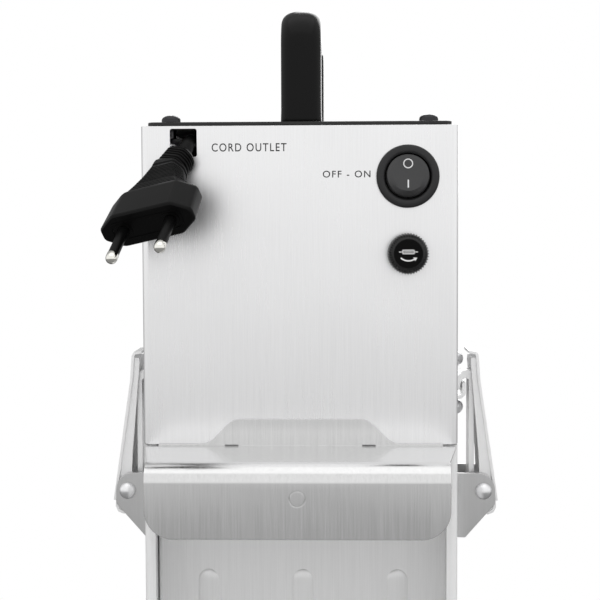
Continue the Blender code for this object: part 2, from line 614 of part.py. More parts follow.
def make_pump(head):
    """Pump tube with inlet windows and a closed foot, the shaft seal, and the spout out of the front."""
    pump = empty("pump_body_axis", (0.0, PUMP_Y, 0.0), head)
    low = PUMP_BOTTOM_Z - SEAM_Z
    floor = low + 3.8 * MM
    profile = [(0.0, low), (PUMP_R, low), (PUMP_R, PUMP_TOP_H), (PUMP_BORE_R, PUMP_TOP_H),
               (PUMP_BORE_R, floor), (0.0, floor)]
    tube = place("pump_tube", turned(profile, segments=24), "food_plastic", pump, smooth=True)
    for across in ("X", "Y"):
        if across == "X":
            window = box((-15 * MM, -4 * MM, low + 7 * MM), (15 * MM, 4 * MM, low + 27 * MM))
        else:
            window = box((-4 * MM, -15 * MM, low + 7 * MM), (4 * MM, 15 * MM, low + 27 * MM))
        combine(tube, window, "DIFFERENCE")
    combine(tube, cylinder(SPOUT_BORE_R, 0.0, 15 * MM, "Y", 16, (0.0, SPOUT_H)), "DIFFERENCE")

    hub = AUGER_CORE_R + GAP
    seal_low = PUMP_TOP_H - 6 * MM
    seal = [(hub, seal_low), (PUMP_BORE_R - GAP, seal_low), (PUMP_BORE_R - GAP, PUMP_TOP_H + GAP),
            (PUMP_R, PUMP_TOP_H + GAP), (PUMP_R, PUMP_TOP_H + 2.5 * MM), (hub, PUMP_TOP_H + 2.5 * MM)]
    place("shaft_seal", turned(seal, segments=24, closed=True), "silicone", pump, smooth=True)

    start = PUMP_R + GAP
    turn_y = HEAD_D / 2 - PUMP_Y + SPOUT_REACH
    bend = 14.0 * MM
    path = [(start, SPOUT_H, 0.0)]
    for angle in range(0, 91, 15):
        a = math.radians(angle)
        path.append((turn_y - bend + bend * math.sin(a), SPOUT_H - bend + bend * math.cos(a), angle))
    path.append((turn_y, SPOUT_H - bend - 10 * MM, 90.0))
    spout = place("spout", swept_tube(path, SPOUT_R, SPOUT_BORE_R), "bright_steel", pump, smooth=True)
    collar = [(SPOUT_R - 0.2 * MM, 0.0), (13 * MM, 0.0), (13 * MM, 1.6 * MM), (SPOUT_R - 0.2 * MM, 3.2 * MM)]
    rosette = turned([(r, h) for r, h in collar], "Y", 24, closed=True)
    combine(spout, rosette, "UNION", (0.0, HEAD_D / 2 - PUMP_Y + GAP, SPOUT_H))


def swept_tube(path, outer, inner, segments=16):
    """Open pipe along (y, z, angle) stations in the plane X = 0; the angle is the fall from level in degrees."""
    bm = bmesh.new()
    loops = []
    for radius, stations in ((outer, path), (inner, path[::-1])):
        for y, z, angle in stations:
            a = math.radians(angle)
            up = Vector((0.0, math.sin(a), math.cos(a)))
            centre = Vector((0.0, y, z))
            ring = [centre + Vector((px, 0.0, 0.0)) + up * py for px, py in circle(radius, segments)]
            loops.append([bm.verts.new(p) for p in ring])
    for lower, upper in zip(loops, loops[1:] + loops[:1]):
        for i in range(segments):
            j = (i + 1) % segments
            bm.faces.new((lower[i], lower[j], upper[j], upper[i]))
    return bm


def heater_leg_ys():
    return (-20.0 * MM, 8.0 * MM)


def make_heater(head):
    """Sheathed U-shaped heater and the temperature probe that hang into the tank."""
    rear, front = heater_leg_ys()
    top, bottom = 10 * MM, 34 * MM - SEAM_Z
    bend = (front - rear) / 2
    middle = (rear + front) / 2
    stations = [(rear, top, -90.0)]
    for angle in range(180, 361, 20):
        a = math.radians(angle)
        stations.append((middle + bend * math.cos(a), bottom + bend + bend * math.sin(a), angle + 90.0))
    stations.append((front, top, 90.0))
    sections = []
    for y, z, angle in stations:
        a = math.radians(angle)
        along = Vector((0.0, math.cos(a), math.sin(a))) if angle not in (-90.0, 90.0) else None
        if along is None:
            side = Vector((0.0, 1.0, 0.0)) if angle < 0 else Vector((0.0, -1.0, 0.0))
        else:
            side = Vector((0.0, -along.z, along.y))
        centre = Vector((HEATER_X, y, z))
        sections.append([centre + Vector((px, 0.0, 0.0)) + side * py for px, py in circle(HEATER_R, 10)])
    place("heater_rod", loft(sections), "bright_steel", head, smooth=True)

    low = 40 * MM - SEAM_Z
    profile = [(0.0, low)] + [(r, low + PROBE_R - h) for r, h in dome(PROBE_R, PROBE_R, 0.0, 3)[::-1][1:]]
    profile += [(PROBE_R, 9 * MM), (0.0, 9 * MM)]
    place("temperature_probe", turned(profile, segments=12), "bright_steel", head,
          (PROBE_X, PROBE_Y, 0.0), smooth=True)


# ---------------------------------------------------------------- head: front controls

def make_front_controls(head):
    """Dispense button, thermostat knob and pilot lamp."""
    front = HEAD_D / 2
    button = empty("button_axis", (0.0, front, BUTTON_H), head)
    profile = [(0.0, -12 * MM), (6.0 * MM, -12 * MM), (6.0 * MM, 4 * MM), (13 * MM, 4 * MM), (13 * MM, 7 * MM)]
    profile += dome(13 * MM, 2.5 * MM, 7 * MM, 3)[1:]
    place("dispense_button", turned(profile, "Y", 24), "red_plastic", button, smooth=True)

    knob_axis = empty("knob_axis", (KNOB_X, front, KNOB_H), head)
    profile = [(0.0, -10 * MM), (3.0 * MM, -10 * MM), (3.0 * MM, MM), (12.5 * MM, MM), (12.5 * MM, 3 * MM),
               (10.5 * MM, 4 * MM), (9.5 * MM, 13.5 * MM), (8.5 * MM, 14.5 * MM), (0.0, 14.5 * MM)]
    knob = place("thermostat_knob", turned(profile, "Y", 24), "black_plastic", knob_axis, smooth=True)
    combine(knob, box((-0.8 * MM, 13.7 * MM, 1.5 * MM), (0.8 * MM, 16 * MM, 12 * MM)), "DIFFERENCE")

    profile = [(0.0, -8 * MM), (4.0 * MM, -8 * MM), (4.0 * MM, GAP), (5.5 * MM, GAP), (5.5 * MM, 1.5 * MM)]
    profile += dome(4.2 * MM, 3.0 * MM, 1.5 * MM, 3)
    place("pilot_lamp", turned(profile, "Y", 16), "amber_lens", head, (LAMP_X, front, LAMP_H), smooth=True)


# ---------------------------------------------------------------- base

def make_base_frame(base):
    """Folded frame: two side walls with narrow rear flanges, and a floor that runs forward as the tray shelf."""
    half, rear, front = HEAD_W / 2, -HEAD_D / 2, HEAD_D / 2
    top = SEAM_Z - 0.4 * MM
    floor = box((-half + BEND_R, rear + 0.5 * MM, FRAME_Z), (half - BEND_R, SHELF_FRONT, FRAME_Z + 1.5 * MM))
    frame = place("base_frame", floor, "brushed_steel", base, smooth=True)
    for side in (-1, 1):
        corner = (half - BEND_R, rear + BEND_R)
        path = [(half - REAR_LIP, rear)] + arc(corner, BEND_R, 270, 360, 6) + [(half, front)]
        outline = [(side * x, y) for x, y in offset_strip(path, SHEET)]
        combine(frame, prism(outline, "Z", FRAME_Z, top), "UNION")
        inner, outer = half - 3.2 * MM, half - 0.5 * MM
        low, high = sorted((side * inner, side * outer))
        combine(frame, box((low, rear + 3 * MM, FRAME_Z + 0.01 * MM), (high, front - 0.1 * MM, FRAME_Z + 1.4 * MM)),
                "UNION")


def make_tank(base):
    """Cheese tank: ribbed back wall, rolled rim, open top; the silicone seal lies on its rim."""
    middle, half_y = (TANK_REAR + TANK_FRONT) / 2, (TANK_FRONT - TANK_REAR) / 2
    top = SEAM_Z - 1.8 * MM
    body = prism(rounded_rectangle(TANK_W / 2, half_y, TANK_CORNER_R, 4, (0.0, middle)), "Z", TANK_FLOOR_Z, top)
    tank = place("cheese_tank", body, "brushed_steel", base, smooth=True)
    for x in (-RIB_PITCH, 0.0, RIB_PITCH):
        combine(tank, tank_rib(), "UNION", (x, TANK_REAR, 0.0))
    rim = prism(rounded_rectangle(HEAD_W / 2 - SHEET - GAP, half_y + 0.9 * MM, TANK_CORNER_R, 4, (0.0, middle)),
                "Z", top - SHEET, top - 0.01 * MM)
    combine(tank, rim, "UNION")
    hollow = prism(rounded_rectangle(TANK_W / 2 - SHEET, half_y - SHEET, TANK_CORNER_R - SHEET, 4, (0.0, middle)),
                   "Z", TANK_FLOOR_Z + SHEET, top + 5 * MM)
    combine(tank, hollow, "DIFFERENCE")

    low, high = top + GAP, SEAM_Z
    outer = rounded_rectangle(TANK_W / 2, half_y, TANK_CORNER_R, 4, (0.0, middle))
    seal = place("tank_seal", prism(outer, "Z", low, high), "silicone", base)
    inner = rounded_rectangle(TANK_W / 2 - 3 * MM, half_y - 3 * MM, TANK_CORNER_R / 2, 4, (0.0, middle))
    combine(seal, prism(inner, "Z", low - MM, high + MM), "DIFFERENCE")


def tank_rib():
    """Pressed stiffening rib: a low half-round bead with a round top, from near the floor up."""
    radius, depth, sides = RIB_W / 2, 0.9 * MM, 8
    top, low = SEAM_Z - RIB_TOP_DEPTH - radius, TANK_FLOOR_Z + 14 * MM
    stations = [(low, 1.0)]
    stations += [(top + radius * math.sin(math.radians(a)), math.cos(math.radians(a))) for a in (0, 22.5, 45, 67.5, 84)]
    sections = []
    for z, scale in stations:
        half_round = [(scale * radius * math.cos(math.pi * i / sides), -scale * depth * math.sin(math.pi * i / sides), z)
                      for i in range(sides + 1)]
        back = [(-scale * radius, 0.5 * MM, z), (scale * radius, 0.5 * MM, z)]
        sections.append(half_round + back)
    return loft(sections)


def make_front_cover(base):
    """Front cover of the base, folded back at both sides, standing on the frame's floor."""
    half, front = HEAD_W / 2 - SHEET - GAP, HEAD_D / 2
    low = FRAME_Z + 1.5 * MM + GAP
    outline = [(-half, front - 1.6 * MM), (-half, front), (half, front), (half, front - 1.6 * MM),
               (half - 0.8 * MM, front - 1.6 * MM), (half - 0.8 * MM, front - 0.8 * MM),
               (-half + 0.8 * MM, front - 0.8 * MM), (-half + 0.8 * MM, front - 1.6 * MM)]
    place("base_front_cover", prism(outline, "Z", low, SEAM_Z - 0.4 * MM), "brushed_steel", base)


def make_hook_plate(base):
    """Z-folded plate at the seam: locating tab up the head's back, ledge, and hook flap down behind."""
    half, rear = HOOK_W / 2, -HEAD_D / 2
    top, thick = SEAM_Z - 0.4 * MM, SHEET
    under_head = TANK_REAR - 2.6 * MM
    outer = rear - HOOK_DEPTH
    bend = HOOK_BEND_R
    turn = (outer + bend, top - bend)
    profile = [(under_head, top), (under_head, top - thick)]
    profile += arc(turn, bend - thick, 90, 180, 8)
    profile += [(outer + thick, top - HOOK_DROP), (outer, top - HOOK_DROP)]
    profile += arc(turn, bend, 180, 90, 8)
    plate = place("hook_plate", prism(profile, "X", -half, half), "brushed_steel", base, smooth=True)
    ledge = [(-LEDGE_W / 2, rear - GAP), (-half, outer + bend), (half, outer + bend), (LEDGE_W / 2, rear - GAP)]
    combine(plate, prism(ledge, "Z", top - thick + 0.01 * MM, top - 0.01 * MM), "UNION")

    low = top - HOOK_DROP
    window = [(half + MM, low - MM), (half - HOOK_CORNER_R, low - MM)]
    window += arc((half - HOOK_CORNER_R, low + HOOK_CORNER_R), HOOK_CORNER_R, 270, 360, 8)
    window += [(half + MM, low + HOOK_CORNER_R)]
    for side in (-1, 1):
        corner = prism([(side * x, z) for x, z in window], "Y", outer - MM, outer + 3 * MM)
        combine(plate, corner, "DIFFERENCE")

    tab_rear = rear - GAP
    tab = prism(tab_outline(top - 0.5 * MM), "Y", tab_rear - thick, tab_rear)
    combine(plate, tab, "UNION")
    for side in (-1, 1):
        x = side * NOTCH_X
        notch = box((x - 2.4 * MM, tab_rear - thick - 0.5 * MM, top - 1.5 * MM),
                    (x + 2.4 * MM, tab_rear - 0.35 * MM, top + 0.45 * MM))
        combine(plate, notch, "DIFFERENCE")
    weld = [(2.55 * MM, -0.5 * MM), (2.85 * MM, -0.5 * MM), (2.85 * MM, 0.3 * MM), (2.55 * MM, 0.3 * MM)]
    combine(plate, turned(weld, "Y", 24, closed=True), "DIFFERENCE", (0.0, outer, top - 11.8 * MM))


def tab_outline(foot):
    """Low flat-topped tab with S-curved shoulders."""
    top_half, foot_half, steps = TAB_TOP_W / 2, TAB_FOOT_W / 2, 14
    right = []
    for i in range(steps + 1):
        t = i / steps
        ease = t ** 3 * (10 - 15 * t + 6 * t * t)
        right.append((foot_half + (top_half - foot_half) * t, SEAM_Z + 0.35 * MM + (TAB_H - 0.75 * MM) * ease))
    left = [(-x, z) for x, z in right[::-1]]
    half = HOOK_W / 2
    return [(half, foot), (half, SEAM_Z + 0.3 * MM)] + right + left + [(-half, SEAM_Z + 0.3 * MM), (-half, foot)]


def make_feet(base):
    for end, y in FOOT_YS.items():
        for side_name, side in (("left", -1), ("right", 1)):
            profile = [(0.0, 0.0), (FOOT_R - MM, 0.0), (FOOT_R, MM), (FOOT_R, FRAME_Z - GAP), (0.0, FRAME_Z - GAP)]
            place(f"foot_{end}_{side_name}", turned(profile, segments=16), "rubber", base,
                  (side * FOOT_X, y, 0.0), smooth=True)


def make_drip_tray(base):
    """Drip tray that slides forward off the shelf, and the slotted grille that rests in it."""
    shelf = FRAME_Z + 1.5 * MM + GAP
    seat = empty("tray_seat", (0.0, (TRAY_REAR + TRAY_FRONT) / 2, shelf), base)
    half_x, half_y, wall = TRAY_W / 2, (TRAY_FRONT - TRAY_REAR) / 2, 1.0 * MM
    tray = place("drip_tray", prism(rounded_rectangle(half_x, half_y, 5 * MM, 4), "Z", 0.0, TRAY_H),
                 "brushed_steel", seat, smooth=True)
    hollow = rounded_rectangle(half_x - wall, half_y - wall, 4 * MM, 4)
    combine(tray, prism(hollow, "Z", wall, TRAY_H + MM), "DIFFERENCE")

    grille_low = TRAY_H - 3 * MM
    plate = prism(rounded_rectangle(half_x - wall - GAP, half_y - wall - GAP, 3.6 * MM, 4), "Z",
                  grille_low, grille_low + 1.2 * MM)
    grille = place("drip_grille", plate, "brushed_steel", seat)
    slots = 7
    for i in range(slots):
        y = (i - (slots - 1) / 2) * 8.6 * MM
        slot = rounded_rectangle(43 * MM, 2.0 * MM, 1.9 * MM, 3, (0.0, y))
        combine(grille, prism(slot, "Z", grille_low - MM, grille_low + 3 * MM), "DIFFERENCE")


# ---------------------------------------------------------------- draw latches

def latch_outline(points, side):
    return [(side * x, z) for x, z in points]


def make_latch(base, head, side_name, side):
    """One draw latch: bracket and pivot rivet on the base, lever, claw link, and keeper with its nuts on the head."""
    wall = empty(f"latch_wall_{side_name}", (side * HEAD_W / 2, 0.0, SEAM_Z), base)
    make_bracket(wall, side_name, side)
    make_lever(wall, side_name, side)
    make_link(wall, side_name, side)

    keeper_wall = empty(f"keeper_wall_{side_name}", (side * HEAD_W / 2, 0.0, 0.0), head)
    plate, lip = 1.2 * MM, 1.4 * MM
    outline = [(GAP, 0.6 * MM), (GAP + plate, 0.6 * MM), (GAP + plate, 8.2 * MM), (7.3 * MM, 8.2 * MM),
               (9.0 * MM, 9.9 * MM), (9.0 * MM, 15.0 * MM), (9.0 * MM - lip, 15.0 * MM),
               (9.0 * MM - lip, 10.5 * MM), (6.7 * MM, 9.6 * MM), (GAP + plate, 9.6 * MM),
               (GAP + plate, 30.0 * MM), (GAP, 30.0 * MM)]
    place(f"keeper_{side_name}", prism(latch_outline(outline, side), "Y", -7 * MM, 7 * MM), "bright_steel",
          keeper_wall)
    foot, hex_h, nut_r, tip = GAP * 2 + plate, 2.4 * MM, 3.7 * MM, 8.6 * MM
    for level, w in (("lower", 4.1 * MM), ("upper", 24.4 * MM)):
        profile = [(0.0, foot), (nut_r, foot), (nut_r, foot + hex_h)]
        profile += dome(nut_r * 0.97, tip - foot - hex_h, foot + hex_h, 4)
        bm = turned([(r, h) for r, h in profile], "X", 16)
        if side < 0:
            bmesh.ops.scale(bm, vec=(-1.0, 1.0, 1.0), verts=bm.verts)
        place(f"keeper_nut_{level}_{side_name}", bm, "bright_steel", keeper_wall, (0.0, 0.0, w), smooth=True)


def make_bracket(wall, side_name, side):
    """U-folded bracket on the side wall, ears trimmed to a slanted outline, with the domed pivot rivet."""
    thick, bend, half = 1.4 * MM, 7.5 * MM, BRACKET_HALF_Y
    path = [(EAR_U + MM, -half)] + arc((GAP + bend, -half + bend), bend, 270, 180, 5)
    path += arc((GAP + bend, half - bend), bend, 180, 90, 5) + [(EAR_U + MM, half)]
    strip = offset_strip(path, -thick)
    channel = prism([(side * u, y) for u, y in strip], "Z", BRACKET_LOW_W, BRACKET_TOP_W)
    bracket = place(f"latch_bracket_{side_name}", channel, "bright_steel", wall, smooth=True)
    round_r = 7.0 * MM
    trim = [(-MM, BRACKET_TOP_W + MM), (-MM, BRACKET_LOW_W), (8.5 * MM, BRACKET_LOW_W),
            (EAR_U, BRACKET_LOW_W + 14 * MM)]
    trim += arc((EAR_U - round_r, BRACKET_TOP_W - round_r), round_r, 0, 90, 6)
    trim += [(MM, BRACKET_TOP_W)]
    combine(bracket, prism(latch_outline(trim, side), "Y", -half - MM, half + MM), "INTERSECT")
    hole = cylinder(PIN_R + 0.2 * MM, -half - MM, half + MM, "Y", 16, (side * PIVOT_U, PIVOT_W))
    combine(bracket, hole, "DIFFERENCE")

    head_r, head_h = 3.5 * MM, 2.5 * MM
    outer = half + GAP
    cap = dome(head_r, head_h, outer, 4)
    profile = [(r, -h) for r, h in cap[::-1]] + [(PIN_R, -outer), (PIN_R, outer)] + cap
    place(f"latch_pivot_{side_name}", turned(profile, "Y", 16), "bright_steel", wall,
          (side * PIVOT_U, 0.0, PIVOT_W), smooth=True)


def make_lever(wall, side_name, side):
    """Channel lever: web with proud margins and an inward finger tab, and two side flanges to both pivots."""
    pivot = empty(f"lever_pivot_{side_name}", (side * PIVOT_U, 0.0, PIVOT_W), wall)
    thick = 1.2 * MM

    def local(points):
        return [(side * (u * MM - PIVOT_U), w * MM - PIVOT_W) for u, w in points]

    web = [(22.3, -34.2), (14.9, 16.0), (14.1, 26.6), (13.2, 28.2), (9.9, 28.6),
           (9.9, 27.4), (12.5, 27.0), (12.9, 26.3), (13.7, 16.0), (21.1, -34.2)]
    lever = place(f"latch_lever_{side_name}", prism(local(web), "Y", -LEVER_HALF_Y, LEVER_HALF_Y),
                  "bright_steel", pivot, smooth=True)
    flange = [(21.5, -34.0), (21.6, -37.2), (20.5, -39.4), (18.2, -40.3), (15.9, -39.6), (13.4, -35.0),
              (11.9, -31.5), (11.9, -27.5), (14.6, -22.0), (14.2, -14.0), (10.9, 23.5), (11.2, 25.6),
              (13.2, 25.6), (14.0, 16.0)]
    for low, high in ((-FLANGE_HALF_Y, -FLANGE_HALF_Y + thick), (FLANGE_HALF_Y - thick, FLANGE_HALF_Y)):
        combine(lever, prism(local(flange), "Y", low, high), "UNION")
    for u, w in ((PIVOT_U, PIVOT_W), (LINK_U, LINK_W)):
        centre = (side * (u - PIVOT_U), w - PIVOT_W)
        hole = cylinder(PIN_R + 0.2 * MM, -LEVER_HALF_Y - MM, LEVER_HALF_Y + MM, "Y", 16, centre)
        combine(lever, hole, "DIFFERENCE")


def make_link(wall, side_name, side):
    """Goose-neck claw link: trunnion on the lever's heel, neck inside the pivot, claw over the keeper."""
    pivot = empty(f"link_pivot_{side_name}", (side * LINK_U, 0.0, LINK_W), wall)
    half = 6.0 * MM

    def local(points):
        return [(side * (u * MM - LINK_U), w * MM - LINK_W) for u, w in points]

    neck = [(18.2, -40.0), (20.3, -39.2), (21.3, -37.0), (20.4, -34.6), (18.2, -33.7), (14.2, -34.4),
            (12.6, -32.0), (12.6, 17.4), (11.6, 19.4), (9.8, 20.2), (7.6, 19.4), (5.6, 17.0), (4.6, 14.0),
            (4.7, 12.2), (5.7, 11.5), (6.6, 12.2), (6.9, 14.2), (7.8, 16.3), (9.2, 16.9), (10.4, 16.0),
            (10.4, -30.5), (11.8, -36.5), (13.5, -39.6)]
    link = place(f"latch_link_{side_name}", prism(local(neck), "Y", -half, half), "bright_steel", pivot,
                 smooth=True)
    reach = FLANGE_HALF_Y + 0.3 * MM
    combine(link, cylinder(PIN_R, -reach, reach, "Y", 16), "UNION")


def main():
    clear_scene()
    base = empty("base_origin", (0.0, BODY_Y, 0.0))
    head = empty("head_origin", (0.0, BODY_Y, SEAM_Z))
    make_head_shell(head)
    make_head_floor(head)
    make_front_panel(head)
    make_lid(head)
    make_handle(head)
    make_power_switch(head)
    make_fuse(head)
    make_mains_lead(head)
    make_drive(head)
    make_pump(head)
    make_heater(head)
    make_front_controls(head)
    make_base_frame(base)
    make_tank(base)
    make_front_cover(base)
    make_hook_plate(base)
    make_feet(base)
    make_drip_tray(base)
    for side_name, side in (("left", -1), ("right", 1)):
        make_latch(base, head, side_name, side)


main()
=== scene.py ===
"""Looks of the cheese dispenser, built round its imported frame.

Everything is in metres, in the frame of the CAD model: +Z up, the control panel faces -Y.
"""
import json
import math

import bmesh
import bpy
from mathutils import Matrix, Vector


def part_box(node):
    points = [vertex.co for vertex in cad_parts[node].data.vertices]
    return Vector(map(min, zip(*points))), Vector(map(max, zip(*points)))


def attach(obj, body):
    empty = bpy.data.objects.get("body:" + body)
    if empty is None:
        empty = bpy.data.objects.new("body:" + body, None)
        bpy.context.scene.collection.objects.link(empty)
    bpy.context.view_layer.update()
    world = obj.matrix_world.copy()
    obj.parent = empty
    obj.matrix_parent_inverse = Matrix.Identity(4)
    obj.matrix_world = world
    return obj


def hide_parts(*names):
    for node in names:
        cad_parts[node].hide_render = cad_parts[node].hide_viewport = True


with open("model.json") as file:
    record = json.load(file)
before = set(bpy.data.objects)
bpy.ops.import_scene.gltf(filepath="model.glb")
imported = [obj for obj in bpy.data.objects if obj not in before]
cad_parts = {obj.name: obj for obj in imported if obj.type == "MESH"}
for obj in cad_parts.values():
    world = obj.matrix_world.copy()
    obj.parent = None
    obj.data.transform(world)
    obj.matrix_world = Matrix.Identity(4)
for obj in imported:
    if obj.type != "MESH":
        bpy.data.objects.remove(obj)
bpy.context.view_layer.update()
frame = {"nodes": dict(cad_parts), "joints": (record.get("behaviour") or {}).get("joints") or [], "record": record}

MM = 0.001
JOINTS = {joint["name"]: joint for joint in frame["joints"]}

# Places taken from the frame.
SHELL_LOW, SHELL_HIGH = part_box("head_shell")
REAR_Y, FRONT_Y = SHELL_LOW.y, SHELL_HIGH.y
SEAM_Z = SHELL_LOW.z
MIDDLE_Y = (REAR_Y + FRONT_Y) / 2
ROCKER_AXIS = Vector(JOINTS["power_rocker_tilt"]["pos_m"])
FUSE_AXIS = Vector(JOINTS["fuse_cap_turn"]["pos_m"])

# The camera sees the control panel nearly square on, from just below the lid.
CAMERA_STAND = Vector((0.0146, -0.5987, 0.3035))
CAMERA_TARGET = Vector((0.0001, REAR_Y, 0.2754))
CAMERA_ROLL_DEG = -0.22
LENS_MM, SENSOR_MM = 81.8, 36.0

# The studio: a round pale floor, two soft boxes and a sky that is darker below the horizon and towards +Y.
FLOOR_R = 0.46
FLOOR_TONE = 0.95
LIGHT_TARGET = (0.0, MIDDLE_Y, 0.2)
SOFT_BOXES = (
    # name, place, size, watts
    ("top_box", (0.0, -0.3, 1.6), (1.6, 1.6), 3.0),
    ("front_box", (0.5, 1.4, 0.9), (1.2, 1.2), 12.0),
)
# Height in the sky, from 0 straight down to 1 straight up, and brightness there.
SKY_LEVELS = ((0.0, 0.26), (0.36, 0.30), (0.39, 0.38), (0.43, 0.84), (0.47, 0.98), (0.50, 1.06), (1.0, 1.0))
SKY_FALL_FROM, SKY_FALL_TO, SKY_FALL_LEVEL = 0.05, 0.75, 0.35

# The softened copies of CAD nodes.
BEVEL_SEGMENTS = 2
WELD_DISTANCE = 0.03 * MM
SLIVER_DISTANCE = 0.01 * MM
FLAT_WITHIN_DEG = 0.8

# The round switch. The rocker's face sits a little above its middle, over a lower lip that falls back.
ROCKER_BALL_R, ROCKER_FRONT, ROCKER_BACK = 8.0, 3.2, -4.5       # mm
ROCKER_REST_DEG = -9.0
ROCKER_FACE_SCALE, ROCKER_FACE_RISE, ROCKER_LIP_DROP = 0.91, 0.62 * MM, 2.2 * MM
ROCKER_FACE_FROM, ROCKER_LIP_FROM = 3.0 * MM, 1.0 * MM          # how far out the face and the lip start
MARK_LIFT = 0.02 * MM
RING_R, RING_STROKE, RING_RISE = 1.8 * MM, 0.4 * MM, 4.1 * MM
BAR_HALF_WIDTH, BAR_LOW, BAR_HIGH, BAR_THICKNESS = 0.24 * MM, -4.8 * MM, -1.9 * MM, 0.2 * MM

# The fuse cap and its barrel; profiles are (radius, outward) in mm.
FUSE_CAP_PROFILE = (
    (0.0, -5.0), (2.8, -5.0), (2.8, 1.6), (6.9, 1.6), (7.5, 2.0), (7.55, 7.2), (7.3, 7.9),
    (6.3, 8.9), (5.9, 9.2), (5.6, 9.4), (5.35, 9.4), (5.2, 9.1), (0.0, 9.1),
)
FUSE_BARREL_PROFILE = (
    (0.0, -30.0), (3.2, -30.0), (3.2, 1.3), (6.9, 1.3), (7.2, 1.0), (7.2, 0.3), (5.9, 0.3),
    (5.9, -32.0), (0.0, -32.0),
)
KNURL_TEETH, KNURL_SEGMENTS, KNURL_DEPTH, KNURL_FROM_R = 44, 264, 0.55 * MM, 6.0 * MM
DISC_R, DISC_BACK, DISC_FRONT = 5.15 * MM, 9.0 * MM, 9.2 * MM
SYMBOL_OUT, SYMBOL_DEPTH = -9.21 * MM, 0.1 * MM
SYMBOL_HALF_WIDTH, SYMBOL_LOW, SYMBOL_HIGH, SYMBOL_STROKE = 2.2 * MM, -0.1 * MM, 1.5 * MM, 0.32 * MM
SYMBOL_CORNER_R, WIRE_HALF_LENGTH = 0.2 * MM, 3.4 * MM
ARROW_R, ARROW_RISE, ARROW_FROM_DEG, ARROW_TO_DEG = 4.1 * MM, 1.6 * MM, 228, 300
ARROW_STROKE, ARROW_HEAD_LENGTH, ARROW_HEAD_HALF = 0.5 * MM, 1.3 * MM, 0.75 * MM

# Printed words: name, text, left edge, height, width, and height of the middle above the seam, in mm.
LABELS = (
    ("label_mains", "CORD OUTLET", -32.0, 3.0, 27.4, 109.3),
    ("label_switch", "OFF - ON", 8.6, 2.5, 17.4, 99.4),
)
LABEL_Y = REAR_Y - 0.015 * MM
FONT_PER_HEIGHT, FONT_WEIGHT, FONT_SPACING, INK_THICKNESS = 1.4, 0.008, 1.2, 0.01 * MM

# The bow handle; its foot stations give height above the lid and extra width, in mm.
HANDLE_WIDTH, HANDLE_DEPTH, HANDLE_BEND_R = 15.7 * MM, 11.0 * MM, 9.0 * MM
HANDLE_FOOT = ((0.0, -0.5), (0.5, 0.3), (3.0, 0.2), (6.0, 0.0))

# The lid's pan-head screws, a little taller than the CAD ones, each with a cross recess.
SCREW_R, SCREW_EDGE, SCREW_EXTRA, SCREW_GAP = 3.6 * MM, 0.8 * MM, 0.6 * MM, 0.3 * MM
SCREW_GRID, SCREW_DOME = 28, 2.2
RECESS_HALF_WIDTH, RECESS_REACH, RECESS_DEPTH, RECESS_SLOPE = 0.30 * MM, 1.9 * MM, 1.0 * MM, 3.8 * MM
SHANK_R, SHANK_LENGTH, SHANK_RISE = 1.7 * MM, 6.0 * MM, 0.1 * MM

# The mains lead: its route behind the plug, and the stowed coil.
CORD_DIAMETER = 5.5 * MM
CORD_ORIGIN = Vector((0.0, MIDDLE_Y, SEAM_Z))
CORD_ROUTE = (
    (-47.8, -29.3, 94.2),
    (-45.1, -39.7, 99.7),
    (-42.7, -49.0, 104.6),
    (-40.9, -57.0, 108.8),
    (-40.1, -64.5, 111.3),
    (-40.3, -69.5, 111.6),
    (-40.9, -74.5, 110.2),
    (-41.9, -78.6, 106.9),
)
COIL_TURNS = 6
CORD_LEAVES_CLAMP_DEG = -69.8       # angle about the coil's centre where the lead leaves its clamp
CORD_LEAVES_COIL_DEG = 64.4         # angle where it leaves the outermost turn towards the plug
COIL_START_R = 20.2 * MM
LEAD_IN_STEPS, STEPS_PER_TURN, SHIFT_DEG = 12, 36, 30.0

# The plug: where its relief starts, and how its axis bends and its broad side twists towards its face.
PLUG_START = Vector((-42.0, -79.0, 106.6)) * MM + CORD_ORIGIN
RELIEF_AXIS, PLUG_AXIS = Vector((-0.42, -0.62, -0.66)), Vector((-0.115, -0.84, -0.53))
RELIEF_WIDE, PLUG_WIDE = Vector((0.889, -0.428, -0.163)), Vector((0.944, -0.26, 0.208))
PLUG_BEND_FROM, PLUG_BEND_TO, PLUG_TWIST_TO = 8.0, 12.0, 14.0
PLUG_LENGTH = 45.9
PIN_SPACING, PIN_LENGTH, PIN_R = 17.6 * MM, 18.7 * MM, 2.0 * MM
SLEEVE_LENGTH, SLEEVE_R = 14.6 * MM, 1.85 * MM
PLUG_STATION_PITCH, PLUG_CORNER_R, FACE_ROUND_LENGTH, FACE_ROUND = 0.3, 1.1, 1.2, 0.5        # mm
RELIEF_RIBS = (0.9, 8.5, 1.27, 0.62, 0.50)      # from, to, pitch, groove width and groove depth, in mm
GRIP_RIBS = (13.9, 29.4, 1.19, 0.50, 0.42)
BORDER_HALF_WIDTH, BORDER_HALF_HEIGHT, BORDER_CORNER_R = 13.0, 3.6, 2.6         # mm
BORDER_STROKE, BORDER_RAISE = 0.45 * MM, 0.25 * MM
BOSS_OUTER_R, BOSS_INNER_R, BOSS_RAISE = 3.1 * MM, 2.3 * MM, 0.30 * MM
TIP_OVERLAP, TIP_CHAMFER = 0.2 * MM, 0.25 * MM
